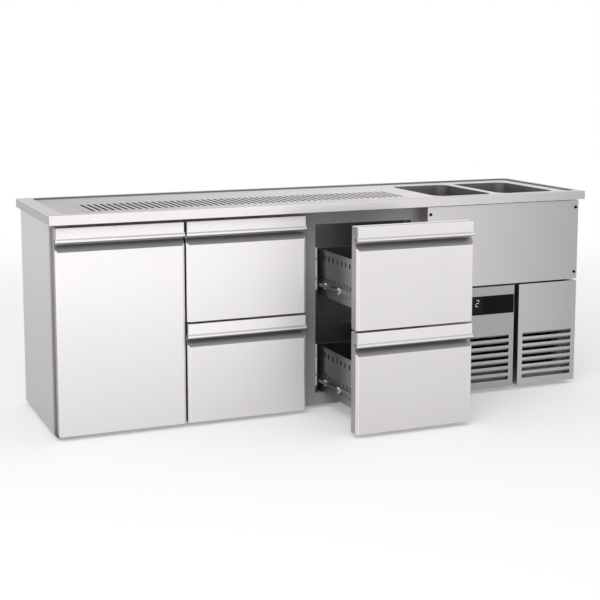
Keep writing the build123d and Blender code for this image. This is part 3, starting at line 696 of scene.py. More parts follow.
# Painted shade: the walls of the slots and holes and the plate's edges take a dark steel.
refinish(grille, wall_shade_steel, lambda face: abs(face.normal.z) < UPWARDS)
settle(grille, "grille", "steel", "drip_grille")
print("grille faces:", len(grille.data.polygons), "thickness:", round(grille_size.z, 4))


# %% [markdown]
# ## Drip pan and bowls
# Under the grille a shallow pan catches the drips, and two deep-drawn bowls hang in the worktop.
# The pan is folded and gets soft edges like the rest. The bowls' solids already have the round
# corners that a press leaves, so they only need their finish.

# %% Drip pan and bowls
# Painted shade: the pan under the grille takes the dark steel of the boxes' insides.
folded("drip_pan", "inner_steel", inside_shade_steel, welded=True)
bowls = ("sink_left", "sink_right")
for node in bowls:
    solid = frame["nodes"][node]
    solid.data.materials.clear()
    solid.data.materials.append(sink_steel)
print("bowls painted as they are:", len(bowls))


# %% [markdown]
# ## Turned pieces
# Wastes, rollers, screws and feet are turned on a lathe or moulded round. Blender can spin a
# profile with a modifier; here a short helper rings the profile by hand, so the poles close and
# the faces point outwards. Where several are alike, one is turned and a tree stamps it at every
# place that the solids give.

# %% Turn a profile
def band(shape, ring, after):
    """A band of faces between two rings of corners. A ring of one corner is a pole."""
    steps = max(len(ring), len(after))
    for turn in range(steps):
        far = (turn + 1) % steps
        if len(ring) == 1:
            shape.faces.new((ring[0], after[far], after[turn]))
        elif len(after) == 1:
            shape.faces.new((ring[turn], ring[far], after[0]))
        else:
            shape.faces.new((ring[turn], ring[far], after[far], after[turn]))


def turned(name, profile, *finishes, axis="Z", steps=24, at=(0, 0, 0)):
    """A closed shape of turning, from points of (radius, distance along the axis)."""
    shape = bmesh.new()
    rings = []
    for radius, along in profile:
        ring = []
        for turn in range(steps if radius else 1):
            angle = 2 * pi * turn / steps
            u, v = radius * cos(angle), radius * sin(angle)
            spot = {"X": (along, u, v), "Y": (u, along, v), "Z": (u, v, along)}[axis]
            ring.append(shape.verts.new(Vector(spot) + Vector(at)))
        rings.append(ring)
    for ring, after in zip(rings, rings[1:]):
        band(shape, ring, after)
    bmesh.ops.recalc_face_normals(shape, faces=shape.faces)
    return smoothed(as_mesh(name, shape, *finishes), SHARP)


print("turned edges stay sharp above", round(degrees(SHARP)), "degrees")

# %% Stamp a piece at every spot
CHANCE_SEED = 7
LARGEST, NUMBER = 3, 1  # where a Random Value node takes its upper limit and gives a plain number


def stamp_tree():
    tree, size = new_tree("stamped piece", Object=["Piece"], Float=["Chance", "Step"], Int=["Seed"])
    piece = brick(tree, "GeometryNodeObjectInfo", Object=size["Piece"]).outputs["Geometry"]
    chance = brick(tree, "FunctionNodeRandomValue", Seed=size["Seed"])
    feed(chance.inputs[LARGEST], size["Chance"])
    order = brick(tree, "GeometryNodeInputIndex")
    angle = reckon(tree, "MULTIPLY_ADD", order, size["Step"], chance.outputs[NUMBER])
    turn = brick(tree, "ShaderNodeCombineXYZ", Y=angle)
    return finish_tree(tree, size, spread(tree, size["Geometry"], piece, Rotation=turn))


stamping = stamp_tree()


def line_mesh(name, spots, edges=()):
    """A mesh of bare points, or of points and the lines between them."""
    mesh = bpy.data.meshes.new(name)
    mesh.from_pydata([tuple(spot) for spot in spots], edges, [])
    return mesh


def stamped(name, node, slot, mesh, spots, finish, chance=0.0, step=0.0):
    """A mesh stamped at every spot, as one piece that stands for a node. Each can be turned about
    Y: by chance up to an angle, or by one step more than the last."""
    pattern = link_in(f"{name}_pattern", mesh)
    piece = grow(
        name, stamping, line_mesh(name, spots),
        Piece=pattern, Chance=chance, Step=step, Seed=CHANCE_SEED, Finish=finish,
    )
    bpy.data.objects.remove(pattern)
    return settle(piece, carrier[node], slot, node)


def lumps(node, anchor):
    """The size of a node's first separate solid, and a spot in each of its solids. For each axis
    the anchor is 0 at the low side, 0.5 in the middle and 1 at the high side."""
    shape, seen, boxes = merged(node), set(), []
    for start in shape.verts:
        reach, group = [start], []
        while reach:
            vert = reach.pop()
            if vert not in seen:
                seen.add(vert)
                group.append(vert.co.copy())
                reach.extend(edge.other_vert(vert) for edge in vert.link_edges)
        if group:
            boxes.append([Vector(map(pick, zip(*group))) for pick in (min, max)])
    shape.free()
    spots = [low + Vector(anchor) * (high - low) for low, high in boxes]
    return boxes[0][1] - boxes[0][0], spots


print("random turns start from seed", CHANCE_SEED)


# %% [markdown]
# ## Sink wastes
# A waste is a chromed ring that clamps the bowl's floor: a dished flange on top and a short throat
# below. Its width and height are measured from the solids, so it fits them. Its section is turned
# once and stamped in both bowls.

# %% Sink wastes
THROAT, WASTE_WALL = 0.0237, 0.002
waste_size, waste_spots = lumps("sink_wastes", (0.5, 0.5, 1.0))
waste_rim, waste_foot = waste_size.x / 2, -waste_size.z
waste_profile = [  # up the throat, out under the flange, and back over its dished top
    (THROAT, waste_foot), (THROAT + WASTE_WALL, waste_foot), (THROAT + WASTE_WALL, -WASTE_WALL),
    (waste_rim, -WASTE_WALL), (waste_rim, -0.0012), (waste_rim - 0.002, -0.0003),
    (waste_rim - 0.008, 0.0), (THROAT + 0.004, -0.0004), (THROAT, -WASTE_WALL),
    (THROAT, waste_foot),
]
waste = turned("waste", waste_profile, steps=40)
stamped("sink_waste_rings", "sink_wastes", "waste", waste, waste_spots, chrome)
print("wastes at:", [round(spot[0], 3) for spot in waste_spots])


# %% [markdown]
# ## Waste strainers
# A strainer is a small plate with rings of round holes that keeps glass and lemon out of the
# drain. It is the grille's idea bent into a circle, so its tree also fills curves: a disc, and
# holes whose places come from the points of two smaller circles.

# %% A strainer plate in each waste
DISC_SIDES, PUNCH_SIDES = 40, 10
STRAINER_DROP = 0.0045


def strainer_tree():
    tree, size = new_tree(
        "strainer plate", Int=["Inner Count", "Outer Count"],
        Float=["Plate Radius", "Hole Radius", "Inner Radius", "Outer Radius", "Thickness"],
    )
    disc = brick(tree, CIRCLE, Radius=size["Plate Radius"], Resolution=DISC_SIDES)
    hole = brick(tree, CIRCLE, Radius=size["Hole Radius"], Resolution=PUNCH_SIDES)
    rings = [
        brick(tree, CIRCLE, Radius=size[f"{ring} Radius"], Resolution=size[f"{ring} Count"])
        for ring in ("Inner", "Outer")
    ]
    holes = [spread(tree, ring, hole) for ring in rings]
    plate = cut_plate(tree, size["Thickness"], disc, *holes)
    return finish_tree(tree, size, spread(tree, size["Geometry"], plate))


strainer_spots = [(x, y, z - STRAINER_DROP) for x, y, z in waste_spots]
strainers = grow(
    "sink_waste_strainers", strainer_tree(), line_mesh("strainer_spots", strainer_spots),
    Plate_Radius=THROAT, Hole_Radius=0.0026, Inner_Radius=0.0085, Inner_Count=6,
    Outer_Radius=0.0172, Outer_Count=12, Thickness=0.0015, Finish=chrome,
)
settle(strainers, "cabinet", "waste")
print("strainer faces:", len(strainers.data.polygons))


# %% [markdown]
# ## Door and drawer seals
# Each front carries a rubber bellows seal with a magnet in it. A plain ring would look like a
# gasket cut from sheet. The real profile is a row of folds, so the folds are given once as a
# closed line of insets and depths, and each point of that line becomes a rectangle of its own
# size: the corners come out mitred, as the welded corners of a real seal are.

# %% Bellows seals
SEAL_WIDTH = 0.016
BELLOWS = (
    (0.0, 0.0), (0.0, 0.22), (0.14, 0.36), (0.02, 0.52), (0.06, 0.8), (0.2, 1.0), (0.8, 1.0),
    (0.94, 0.8), (0.98, 0.52), (0.86, 0.36), (1.0, 0.22), (1.0, 0.0),
)


def bellows_seal(name):
    """The seal behind one front, on that front's body."""
    low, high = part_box(f"{name}_gasket")
    shape = bmesh.new()
    rings = []
    for inset, depth in BELLOWS:
        x0, x1 = low.x + inset * SEAL_WIDTH, high.x - inset * SEAL_WIDTH
        z0, z1 = low.z + inset * SEAL_WIDTH, high.z - inset * SEAL_WIDTH
        y = low.y + depth * (high.y - low.y)
        corners = [(x0, y, z0), (x1, y, z0), (x1, y, z1), (x0, y, z1)]
        rings.append([shape.verts.new(corner) for corner in corners])
    for ring, after in zip(rings, rings[1:] + rings[:1]):
        band(shape, ring, after)
    bmesh.ops.recalc_face_normals(shape, faces=shape.faces)
    seal = link_in(f"{name}_seal", as_mesh(f"{name}_seal", shape, seal_rubber))
    return settle(seal, carrier[f"{name}_gasket"], "gasket", f"{name}_gasket")


for name in fronts:
    bellows_seal(name)
print("seals:", len(fronts))


# %% [markdown]
# ## Drawer boxes and runners
# The boxes are folded from thin sheet with pierced sides, and they run on telescopic runners:
# rails on the cabinet, rails on the box and a slide between them with white nylon rollers. Box,
# rails and slides are folded or drawn steel and take the soft edges. The rollers are stamped, one
# set for each runner, because each runner is a body of its own.

# %% Boxes, rails, slides and rollers
BOX_EDGE, RACK_EDGE = 0.0006, 0.0004
TREAD = (  # shares of a roller's radius and half width, from its axle to its rim
    (0.0, 1.0), (0.22, 1.0), (0.26, 0.86), (0.72, 0.8), (0.78, 1.0), (0.93, 1.0), (1.0, 0.8),
)
for name in drawers:
    box = folded(f"{name}_box", "inner_steel", inner_steel)
    box_low, box_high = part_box(f"{name}_box")
    middle = (box_low + box_high) / 2
    # Painted shade: a box's inner faces take a dark steel.
    refinish(box, inside_shade_steel, lambda face: (middle - face.center).dot(face.normal) > 0)
    # A painted highlight, for the thin line of light along a box's rim: its top edges take the
    # bright edge steel.
    refinish(box, worn_highlit_edge, lambda face: face.center.z > box_high.z - BOX_EDGE)
    folded(f"{name}_rails", "inner_steel", inner_steel)
    folded(f"{name}_slides", "inner_steel", inner_steel)
    wheel_size, wheel_spots = lumps(f"{name}_rollers", (0.5, 0.5, 0.5))
    half = [(wheel_size.z / 2 * out, -wheel_size.x / 2 * aside) for out, aside in TREAD]
    other = [(radius, -along) for radius, along in reversed(half)]
    wheel = turned("roller", half + other, axis="X")
    stamped(f"{name}_roller_set", f"{name}_rollers", "roller", wheel, wheel_spots, roller_nylon)
folded("fixed_rails", "inner_steel", inner_steel)
# Painted light: the rack strips take a brighter steel and the bright edge steel.
folded("rack_strips", "inner_steel", strip_lit_steel, worn_highlit_edge, RACK_EDGE)
print("runner sets:", len(drawers), "rollers in each:", len(wheel_spots))


# %% [markdown]
# ## Rack flanges at the jambs
# Beside each box the rack ends in a narrow notched flange that shows in the gap between the box
# and its opening. It is a small slotted plate stood on end, so the grille's tree makes it again:
# only the sizes and the turn differ. Modelling it afresh would give the same strip more slowly.

# %% Notched flanges
JAMB_GAP = 0.031  # from a box to the edge of its opening
FLANGE_WIDE, FLANGE_THICK, FLANGE_BACK = 0.0095, 0.0012, 0.0065
FLANGE_FOOT, FLANGE_HEAD = 0.027, 0.009  # above the box's floor, and above its rim
NOTCHES, NOTCH_PITCH, NOTCH_TALL, NOTCH_LONG = 2, 0.0875, 0.007, 0.0075
RIVET, RIVET_INSET, RIVET_REACH = 0.001, 0.006, 0.004
jamb_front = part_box("front_frame")[0].y
for name in drawers:
    box_low, box_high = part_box(f"{name}_box")
    flange_low, flange_high = box_low.z + FLANGE_FOOT, box_high.z + FLANGE_HEAD
    flange_tall, flange_middle = flange_high - flange_low, (flange_low + flange_high) / 2
    jambs = (("left", box_low.x - JAMB_GAP, 1), ("right", box_high.x + JAMB_GAP, -1))
    for side, edge, inwards in jambs:
        # Painted light: the flanges take the brighter rack strip steel.
        flange = grow(
            f"{name}_rack_flange_{side}", plate_tree,
            Length=flange_tall, Width=FLANGE_WIDE, Thickness=FLANGE_THICK,
            Slot_Count=NOTCHES, Slot_Pitch=NOTCH_PITCH,
            Slot_Width=NOTCH_TALL, Slot_Length=NOTCH_LONG,
            Lift_Hole=RIVET, Lift_Span=flange_tall - 2 * RIVET_INSET, Lift_Reach=RIVET_REACH,
            Centre=(edge + inwards * FLANGE_WIDE / 2, jamb_front + FLANGE_BACK, flange_middle),
            Turn=(pi / 2, pi / 2, 0.0), Finish=strip_lit_steel,
        )
        settle(flange, "cabinet", "inner_steel")
print("rack flanges:", 2 * len(drawers))


# %% [markdown]
# ## The wire shelf
# Behind the door lies a shelf of round wires. A wire is a line with a thickness, so the lines are
# drawn as plain edges, and a tree turns each into a curve and sweeps a circle along it. The same
# tree bends the tubes of the coils further down, where its corners need a radius.

# %% Wires and tubes along a line
SHELF_WIRES = 11


def tube_tree():
    tree, size = new_tree("round tube along a line", Float=["Radius", "Bend"], Int=["Sides"])
    line = bent(tree, brick(tree, "GeometryNodeMeshToCurve", Mesh=size["Geometry"]), size["Bend"])
    ring = brick(tree, CIRCLE, Radius=size["Radius"], Resolution=size["Sides"])
    sweep = brick(tree, "GeometryNodeCurveToMesh", Curve=line, Profile_Curve=ring, Fill_Caps=True)
    return finish_tree(tree, size, fill(brick(tree, "GeometryNodeSetShadeSmooth"), sweep))


tubing = tube_tree()


def tubes(name, lines, radius, bend, finish, sides=12):
    """One piece of round wires or tubes, from lists of points."""
    spots, edges = [], []
    for line in lines:
        edges.extend((len(spots) + step, len(spots) + step + 1) for step in range(len(line) - 1))
        spots.extend(line)
    base = line_mesh(name, spots, edges)
    return grow(name, tubing, base, Radius=radius, Bend=bend, Sides=sides, Finish=finish)


shelf_low, shelf_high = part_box("wire_shelf")
wire = (shelf_high.z - shelf_low.z) / 2
wire_z = shelf_low.z + wire
first_x, last_x = shelf_low.x + wire, shelf_high.x - wire
shelf_lines = []
for count in range(SHELF_WIRES):
    x = first_x + (last_x - first_x) * count / (SHELF_WIRES - 1)
    shelf_lines.append([(x, shelf_low.y, wire_z), (x, shelf_high.y, wire_z)])
middle_y = (shelf_low.y + shelf_high.y) / 2
for y in (shelf_low.y + 2 * wire, middle_y, shelf_high.y - 2 * wire):
    shelf_lines.append([(first_x, y, wire_z), (last_x, y, wire_z)])
shelf = tubes("wire_shelf_rods", shelf_lines, wire, 0.0, chrome)
settle(shelf, "cabinet", "inner_steel", "wire_shelf")
folded("shelf_rails", "inner_steel", inner_steel, width=RACK_EDGE)
print("shelf wires:", len(shelf_lines), "radius:", round(wire, 4))


# %% [markdown]
# ## The machine bay's panels
# Three trays of sheet close the machine bay. The lower two are louvred: under each slot's top
# edge hangs a slanted vane. The solids hold those shapes already, so they only need soft edges,
# and the vanes a finish of their own, darker than the vent panel's face, which is painted shade.
# The control panel takes a darker steel than the others, and the service and vent panels darken
# towards the right: painted shade as well.

# %% Panels
PANEL_EDGE, VANE_DEEP = 0.0006, 0.002
folded("service_panel", "panel", panel_steel, worn_highlit_edge, PANEL_EDGE)
# Painted shade: the control panel's steel is darker, and each louvred panel's vanes take a steel of
# their own.
for node, finish in (("control_panel", control_shade_steel), ("vent_panel", panel_steel)):
    panel = folded(node, "panel", finish, worn_highlit_edge, PANEL_EDGE)
    panel_low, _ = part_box(node)
    vanes = refinish(
        panel, vane_shade_steel,
        lambda face: face.normal.y < -UPWARDS and face.normal.z < -UPWARDS
        and face.center.y > panel_low.y + VANE_DEEP,
    )
    print(node, "vane faces:", vanes)


# %% [markdown]
# ## Panel screws
# The service panel is held by four black socket screws. One is turned from its section. No two
# real screws stop at the same turn, so the tree turns each by chance, with a fixed seed.

# %% Screws
SOCKET_WIDE, SOCKET_DEEP, SHANK, HEAD_TALL, TIP = 0.0032, 0.0022, 0.003, 0.004, 0.002
screw_size, screw_spots = lumps("panel_screws", (0.5, 0.0, 0.5))
head, shank_end = screw_size.x / 2, screw_size.y
screw_profile = [  # from the socket's floor, over the rounded head and along the shank to its tip
    (0.0, SOCKET_DEEP), (SOCKET_WIDE * 0.8, SOCKET_DEEP), (SOCKET_WIDE, 0.0004), (head * 0.7, 0.0),
    (head * 0.9, 0.0007), (head, 0.0022), (head, HEAD_TALL), (SHANK, HEAD_TALL),
    (SHANK, shank_end - TIP), (SHANK * 0.6, shank_end), (0.0, shank_end),
]
screw = turned("screw", screw_profile, axis="Y", steps=18)
stamped("panel_screw_set", "panel_screws", "screw", screw, screw_spots, screw_black, chance=pi)
print("screws:", len(screw_spots), "head radius:", round(head, 4))


# %% [markdown]
# ## The controller
# The thermostat is a black moulded box set into the control panel, with a glossy window on its
# face. The body is the solid with soft edges. The window is a thin slab of its own, because a
# shinier patch of the same face would have no edge to catch the light.

# %% Controller body and window
BEZEL_EDGE, WINDOW_EDGE = 0.0009, 0.0003
WINDOW_WIDTH, WINDOW_INSET, WINDOW_LIFT, WINDOW_SUNK = 0.079, 0.004, 0.0004, 0.001


def slab(name, low, high, finish, bevel):
    """A block with rounded edges between two corners."""
    shape = bmesh.new()
    bmesh.ops.create_cube(shape, size=1.0)
    for vert in shape.verts:
        vert.co = Vector(low[axis] if vert.co[axis] < 0 else high[axis] for axis in range(3))
    return round_edges(link_in(name, as_mesh(name, shape, finish, finish)), bevel)


folded("controller", "controller", bezel_plastic, bezel_plastic, BEZEL_EDGE)
control_low, control_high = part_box("controller")
window_low = control_low + Vector((WINDOW_INSET, -WINDOW_LIFT, WINDOW_INSET))
window_high = Vector((
    control_low.x + WINDOW_WIDTH, control_low.y + WINDOW_SUNK, control_high.z - WINDOW_INSET
))
window = slab("controller_window", window_low, window_high, window_gloss, WINDOW_EDGE)
settle(window, "cabinet", "controller")
print("window width:", round(window_high.x - window_low.x, 3))


# %% [markdown]
# ## The digit
# The display shows one number. It is made of bars, as on every such display, and five bars make a
# two. A text object would need a font; five small bars with pointed ends are closer to the real
# thing and weigh nothing.

# %% Five bars of light
DIGIT_X, DIGIT_Z = 0.6975, 0.4245
DIGIT_WIDE, DIGIT_TALL, BAR = 0.0135, 0.029, 0.0019
BAR_GAP, BAR_PROUD, BAR_SUNK = 0.0003, 0.0003, 0.0005
LEAN = 0.12
GLOW, DIM_GLOW = 0.35, 0.8
DIGIT_BARS = (  # the ends of each bar, in halves of the digit's width and height
    ((-1, 1), (1, 1)), ((1, 1), (1, 0)), ((-1, 0), (1, 0)), ((-1, 0), (-1, -1)),
    ((-1, -1), (1, -1)),
)


def lit_glass(name, colour):
    """A light bar: emission that is a little uneven, as light behind plastic is."""
    finish, tree, shader, place = blank(name, Emission_Strength=GLOW)
    uneven = brick(tree, "ShaderNodeTexNoise", Vector=place, Scale=300.0, Detail=2.0)
    light = shades(tree, uneven, [part * DIM_GLOW for part in colour], colour)
    plug(shader, Emission_Color=light, Base_Color=light)
    return finish


shape = bmesh.new()
for bar in DIGIT_BARS:
    first, last = (Vector((u * DIGIT_WIDE / 2, v * DIGIT_TALL / 2)) for u, v in bar)
    run = (last - first).normalized()
    across = Vector((-run.y, run.x)) * BAR / 2
    start, end = first + run * BAR_GAP, last - run * BAR_GAP
    outline = [
        start, start + run * BAR / 2 - across, end - run * BAR / 2 - across, end,
        end - run * BAR / 2 + across, start + run * BAR / 2 + across,
    ]
    outer, inner = (
        [shape.verts.new((DIGIT_X + u + LEAN * v, y, DIGIT_Z + v)) for u, v in outline]
        for y in (window_low.y - BAR_PROUD, window_low.y + BAR_SUNK)
    )
    shape.faces.new(outer)
    shape.faces.new(reversed(inner))
    band(shape, inner, outer)
bmesh.ops.recalc_face_normals(shape, faces=shape.faces)
digit = as_mesh("controller_digit", shape, lit_glass("digit light", (0.86, 0.88, 0.9)))
settle(link_in("controller_digit", digit), "cabinet", "controller")
print("digit bars:", len(DIGIT_BARS))


# %% [markdown]
# ## Coils
# Behind the louvres sit a finned condenser with its fan, and a compressor; an evaporator hangs in
# the cold space. A coil is a stack of thin wavy fins on a tube that runs to and fro. The fins
# repeat, so a tree makes one rippled fin and sets it in a row; the tube follows a path. The
# condenser is painted black, as many are, and the evaporator is left bare.

# %% Finned coils
FIN_PITCH, FIN_THICK, FIN_STEPS = 0.01, 0.0006, 9
RIPPLE, RIPPLE_RATE = 0.0012, 430.0  # height of the waves, and radians in a metre
TUBE, TUBE_SIDES, TUBE_OVER, TUBE_BEND = 0.005, 10, 0.006, 0.012
COIL_ROWS = 6


def fin_tree():
    tree, size = new_tree(
        "row of rippled fins", Int=["Fin Count"], Vector=["First"],
        Float=["Pitch", "Depth", "Height", "Thickness", "Ripple"],
    )
    flat = brick(
        tree, "GeometryNodeMeshGrid",
        Size_X=size["Depth"], Size_Y=size["Height"], Vertices_X=FIN_STEPS, Vertices_Y=2,
    )
    stood = brick(tree, "GeometryNodeTransform", Geometry=flat, Rotation=(pi / 2, 0, pi / 2))
    spot = brick(tree, "ShaderNodeSeparateXYZ", Vector=brick(tree, "GeometryNodeInputPosition"))
    wave = reckon(tree, "SINE", reckon(tree, "MULTIPLY", spot.outputs["Y"], RIPPLE_RATE))
    shift = brick(tree, "ShaderNodeCombineXYZ", X=reckon(tree, "MULTIPLY", wave, size["Ripple"]))
    wavy = brick(tree, "GeometryNodeSetPosition", Geometry=stood, Offset=shift)
    row = row_along_x(tree, size["Fin Count"], size["First"], size["Pitch"])
    return finish_tree(tree, size, spread(tree, row, thicken(tree, wavy, size["Thickness"])))


fin_stacking = fin_tree()


def coil(node, fin_finish, tube_finish):
    """The fins and the tube of one coil, inside its solid's box."""
    low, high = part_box(node)
    middle, size = (low + high) / 2, high - low
    count = round(size.x / FIN_PITCH) + 1
    margin = (size.x - (count - 1) * FIN_PITCH) / 2
    fins = grow(
        f"{node}_fins", fin_stacking, Fin_Count=count, Pitch=FIN_PITCH, Depth=size.y, Height=size.z,
        Thickness=FIN_THICK, Ripple=RIPPLE, First=(low.x + margin, middle.y, middle.z),
        Finish=fin_finish,
    )
    settle(fins, "cabinet", "coil", node)
    path = []
    for row in range(COIL_ROWS):
        z = low.z + (row + 0.5) * size.z / COIL_ROWS
        ends = [(low.x - TUBE_OVER, middle.y, z), (high.x + TUBE_OVER, middle.y, z)]
        path.extend(ends if row % 2 == 0 else ends[::-1])
    pipe = tubes(f"{node}_tube", [path], TUBE, TUBE_BEND, tube_finish, sides=TUBE_SIDES)
    settle(pipe, "cabinet", "coil")
    print(node, "fins:", count)


coil("condenser", compressor_paint, compressor_paint)
coil("evaporator", fin_aluminium, tube_copper)


# %% [markdown]
# ## The fan's blade
# A fan's blade is pressed from sheet: it is curved along its chord and set at an angle. A flat
# plate would look like a paddle, so one blade is shaped as a small curved grid, and Solidify gives
# it a thickness.

# %% One cambered blade
FAN_RADIUS = 0.113
HUB_RADIUS, HUB_HALF, BORE = 0.028, 0.012, 0.00505
BLADE_THICK, BLADE_CHORD, BLADE_PITCH = 0.0012, 0.058, radians(24)
BLADE_ROOT, BLADE_BACK, CAMBER = 0.002, 0.002, 0.004
NARROW, BELLY = 0.72, 0.28  # shares of the chord: at a blade's ends, and what its belly adds
BELLY_START, BELLY_SPAN = 0.2, 0.6
BLADE_STEPS = 7


def blade_mesh():
    """One cambered blade that reaches out along X from the fan's axis."""
    shape = bmesh.new()
    grid = []
    shares = [step / (BLADE_STEPS - 1) for step in range(BLADE_STEPS)]
    for out in shares:
        reach = HUB_RADIUS - BLADE_ROOT + (FAN_RADIUS - HUB_RADIUS) * out
        belly = sin(pi * (BELLY_START + BELLY_SPAN * out))
        width = BLADE_CHORD * (NARROW + BELLY * belly)
        line = []
        for part in shares:
            u, lift = width * (part - 0.5), CAMBER * (1 - (2 * part - 1) ** 2)
            y = u * sin(BLADE_PITCH) + lift * cos(BLADE_PITCH) - BLADE_BACK
            z = u * cos(BLADE_PITCH) - lift * sin(BLADE_PITCH)
            line.append(shape.verts.new((sqrt(max(reach**2 - z**2, 0.0)), y, z)))
        grid.append(line)
    for near, far in zip(grid, grid[1:]):
        for step in range(BLADE_STEPS - 1):
            shape.faces.new((near[step], near[step + 1], far[step + 1], far[step]))
    bmesh.ops.recalc_face_normals(shape, faces=shape.faces)
    bmesh.ops.solidify(shape, geom=shape.faces[:], thickness=BLADE_THICK)
    return smoothed(as_mesh("blade", shape), SHARP)


blade = blade_mesh()
print("blade faces:", len(blade.polygons))


# %% [markdown]
# ## Blades round the hub
# The fan has four blades on a turned hub, and a motor behind it. Copying the blade three times
# would fix the number. The stamping tree sets it four times at one spot instead, each a quarter
# turn further, and another number needs no other work.

# %% Blades, hub and motor
BLADES, MOTOR_EDGE = 4, 0.0012
fan_low, fan_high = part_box("fan_blade")
fan_middle = (fan_low + fan_high) / 2
blades = stamped(
    "fan_blade_set", "fan_blade", "blade", blade, [fan_middle] * BLADES, blade_aluminium,
    step=2 * pi / BLADES,
)
hub_profile = [  # from the bore, over the rounded front to the back, and closed along the bore
    (BORE, -HUB_HALF), (HUB_RADIUS * 0.6, -HUB_HALF), (HUB_RADIUS * 0.92, -HUB_HALF * 0.7),
    (HUB_RADIUS, -HUB_HALF * 0.4), (HUB_RADIUS, HUB_HALF), (BORE, HUB_HALF), (BORE, -HUB_HALF),
]
hub = turned("hub", hub_profile, motor_paint, axis="Y", steps=32, at=fan_middle)
settle(link_in("fan_hub", hub), "fan", "blade")
folded("fan_motor", "motor", motor_paint, motor_paint, MOTOR_EDGE)
print("fan blades:", BLADES, "faces:", len(blades.data.polygons))


# %% [markdown]
# ## The compressor
# A small compressor is two deep-drawn steel cups welded together, so it has a domed top and a
# raised seam round its waist, and it stands on a plate. Two cups with a joint would be hidden work
# for a piece that shows only through the louvres, so one profile is turned, with the seam as four
# extra points.

# %% Compressor shell on its plate
PLATE_TALL, PLATE_EDGE, CAN_RADIUS = 0.012, 0.003, 0.0825
CAN = (  # share of the radius, and height above the plate's foot
    (0.0, PLATE_TALL), (0.86, PLATE_TALL), (0.96, 0.022), (0.97, 0.1), (1.0, 0.103), (1.0, 0.112),
    (0.97, 0.115), (0.97, 0.165), (0.9, 0.188), (0.72, 0.203), (0.4, 0.211),
)
can_low, can_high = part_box("compressor")
can_middle = (can_low + can_high) / 2
can_tall = can_high.z - can_low.z
can_profile = [(CAN_RADIUS * share, height) for share, height in CAN] + [(0.0, can_tall)]
can_foot = (can_middle.x, can_middle.y, can_low.z)
can = turned("can", can_profile, compressor_paint, steps=48, at=can_foot)
settle(link_in("compressor_shell", can), "cabinet", "compressor", "compressor")
plate_high = Vector((can_high.x, can_high.y, can_low.z + PLATE_TALL))
plate = slab("compressor_plate", can_low, plate_high, compressor_paint, PLATE_EDGE)
settle(plate, "cabinet", "compressor")
print("compressor height:", round(can_tall, 3))


# %% [markdown]
# ## Levelling feet
# The counter stands on eight low levelling feet: a moulded pad with a collar that screws in. They
# are all alike, so one is turned and stamped.

# %% Feet
COLLAR = 0.66
FOOT = (  # share of the pad's radius, and height
    (0.0, 0.0), (0.93, 0.0), (1.0, 0.0015), (1.0, 0.006), (0.9, 0.0085), (0.72, 0.009),
    (COLLAR, 0.01),
)
foot_size, foot_spots = lumps("levelling_feet", (0.5, 0.5, 0.0))
pad, tall = foot_size.x / 2, foot_size.z
foot_profile = [(pad * share, height) for share, height in (*FOOT, (COLLAR, tall), (0.0, tall))]
foot = turned("foot", foot_profile, steps=28)
stamped("levelling_foot_set", "levelling_feet", "foot", foot, foot_spots, foot_plastic)
print("feet:", len(foot_spots), "pad radius:", round(pad, 4))


# %% [markdown]
# ## Light
# Steel shows what stands round it more than its own colour, so the studio matters. The world is
# white for everything that is seen directly or mirrored, and a little dimmer as a light. One large
# lamp hangs in front on the left, where many small ones would give many small highlights.

# %% World and lamp
WHITE = (1.0, 1.0, 1.0, 1.0)
WORLD_LIGHT = 0.84
LAMP_WIDE, LAMP_DEEP, LAMP_POWER = 4.0, 3.0, 150.0
LAMP_PLACE, LAMP_AIM = (-3.0, -4.0, 5.0), Vector((0.0, 0.2, 0.4))
scene = bpy.context.scene
scene.view_settings.view_transform = "Standard"
scene.world = bpy.data.worlds.new("studio")
scene.world.use_nodes = True
sky = scene.world.node_tree
sky.nodes.clear()


def seen_rays(tree):
    """1 for camera, mirrored and refracted rays, and 0 for the rest."""
    path = brick(tree, "ShaderNodeLightPath").outputs
    total = path["Is Camera Ray"]
    for label in ("Is Glossy Ray", "Is Transmission Ray"):
        total = reckon(tree, "MAXIMUM", total, path[label])
    return total


strength = brick(sky, "ShaderNodeMapRange", Value=seen_rays(sky), To_Min=WORLD_LIGHT, To_Max=1.0)
white = brick(sky, "ShaderNodeBackground", Color=WHITE, Strength=strength)
brick(sky, "ShaderNodeOutputWorld", Surface=white)

lamp_data = bpy.data.lights.new("soft box", "AREA")
lamp_data.shape = "RECTANGLE"
lamp_data.size, lamp_data.size_y = LAMP_WIDE, LAMP_DEEP
lamp_data.energy = LAMP_POWER
lamp = link_in("soft box", lamp_data)
lamp.location = LAMP_PLACE
lamp.rotation_mode = "QUATERNION"
lamp.rotation_quaternion = (LAMP_AIM - lamp.location).to_track_quat("-Z", "Y")
print("lamp power:", lamp_data.energy)


# %% [markdown]
# ## Floor
# The floor takes the counter's shadow. A plane would show its far edge as a horizon, so it is a
# wide pale disc that fades to white with distance. It glows a little where it is seen, because a
# plain floor that is white enough would have to be overlit.

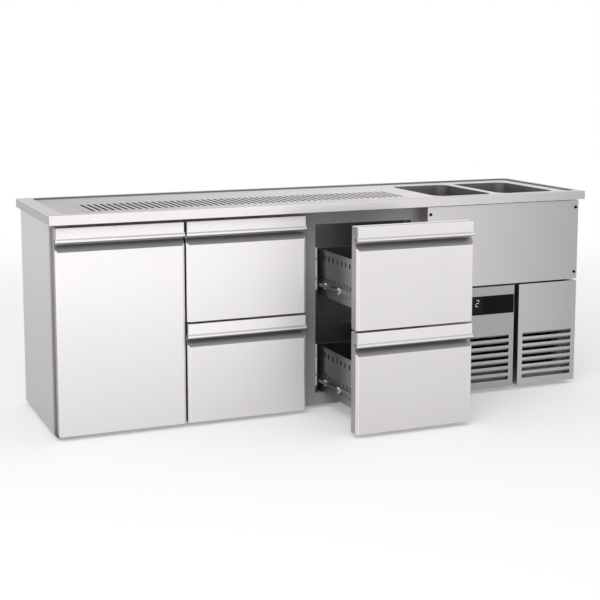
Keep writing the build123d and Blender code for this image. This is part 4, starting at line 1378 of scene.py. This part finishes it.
# %% Floor
FLOOR_RADIUS, FLOOR_SIDES = 60.0, 64
FADE_START, FADE_END = 2.2, 6.0
FLOOR_SHADE, FLOOR_GLOW = 0.64, 0.28
floor_paint = bpy.data.materials.new("pale floor")
floor_paint.use_nodes = True
ground = floor_paint.node_tree
ground.nodes.clear()
seen = seen_rays(ground)
place = brick(ground, "ShaderNodeTexCoord").outputs["Object"]
away = brick(ground, "ShaderNodeVectorMath", {"operation": "LENGTH"}, Vector=place).outputs["Value"]
fade = brick(
    ground, "ShaderNodeMapRange", {"interpolation_type": "SMOOTHSTEP"},
    Value=away, From_Min=FADE_START, From_Max=FADE_END,
)
matt = brick(ground, "ShaderNodeBsdfDiffuse", Color=(FLOOR_SHADE, FLOOR_SHADE, FLOOR_SHADE, 1.0))
glow = brick(ground, "ShaderNodeEmission", Strength=reckon(ground, "MULTIPLY", seen, FLOOR_GLOW))
near = fill(brick(ground, "ShaderNodeAddShader"), matt, glow)
far = brick(ground, "ShaderNodeEmission")
far_share = reckon(ground, "MULTIPLY", fade.outputs[0], seen)
blend = fill(brick(ground, "ShaderNodeMixShader"), far_share, near, far)
brick(ground, "ShaderNodeOutputMaterial", Surface=blend)
disc = bmesh.new()
bmesh.ops.create_circle(disc, cap_ends=True, segments=FLOOR_SIDES, radius=FLOOR_RADIUS)
floor = link_in("studio_floor", as_mesh("floor", disc, floor_paint))
print("floor radius:", FLOOR_RADIUS)


# %% [markdown]
# ## Camera
# The photograph was taken from the front left, a little above the worktop, with a long lens. Its
# uprights are parallel, so a part of the framing is done with the camera's shift instead of its
# tilt, which keeps the counter's edges nearly upright.

# %% Camera at the photograph's angle
LENS, SENSOR, SHIFT = 77.172, 36.0, -0.1167
YAW, PITCH = radians(22.772), radians(7.669)
CAMERA_PLACE = (-2.275, -5.1192, 1.5378)
camera_data = bpy.data.cameras.new("camera")
camera_data.lens = LENS
camera_data.sensor_width = SENSOR
camera_data.shift_y = SHIFT
camera = link_in("camera", camera_data)
camera.location = CAMERA_PLACE
camera.rotation_euler = (pi / 2 - PITCH, 0.0, -YAW)
scene.camera = camera
print("camera:", [round(part, 3) for part in camera.location], "lens:", round(camera_data.lens, 2))
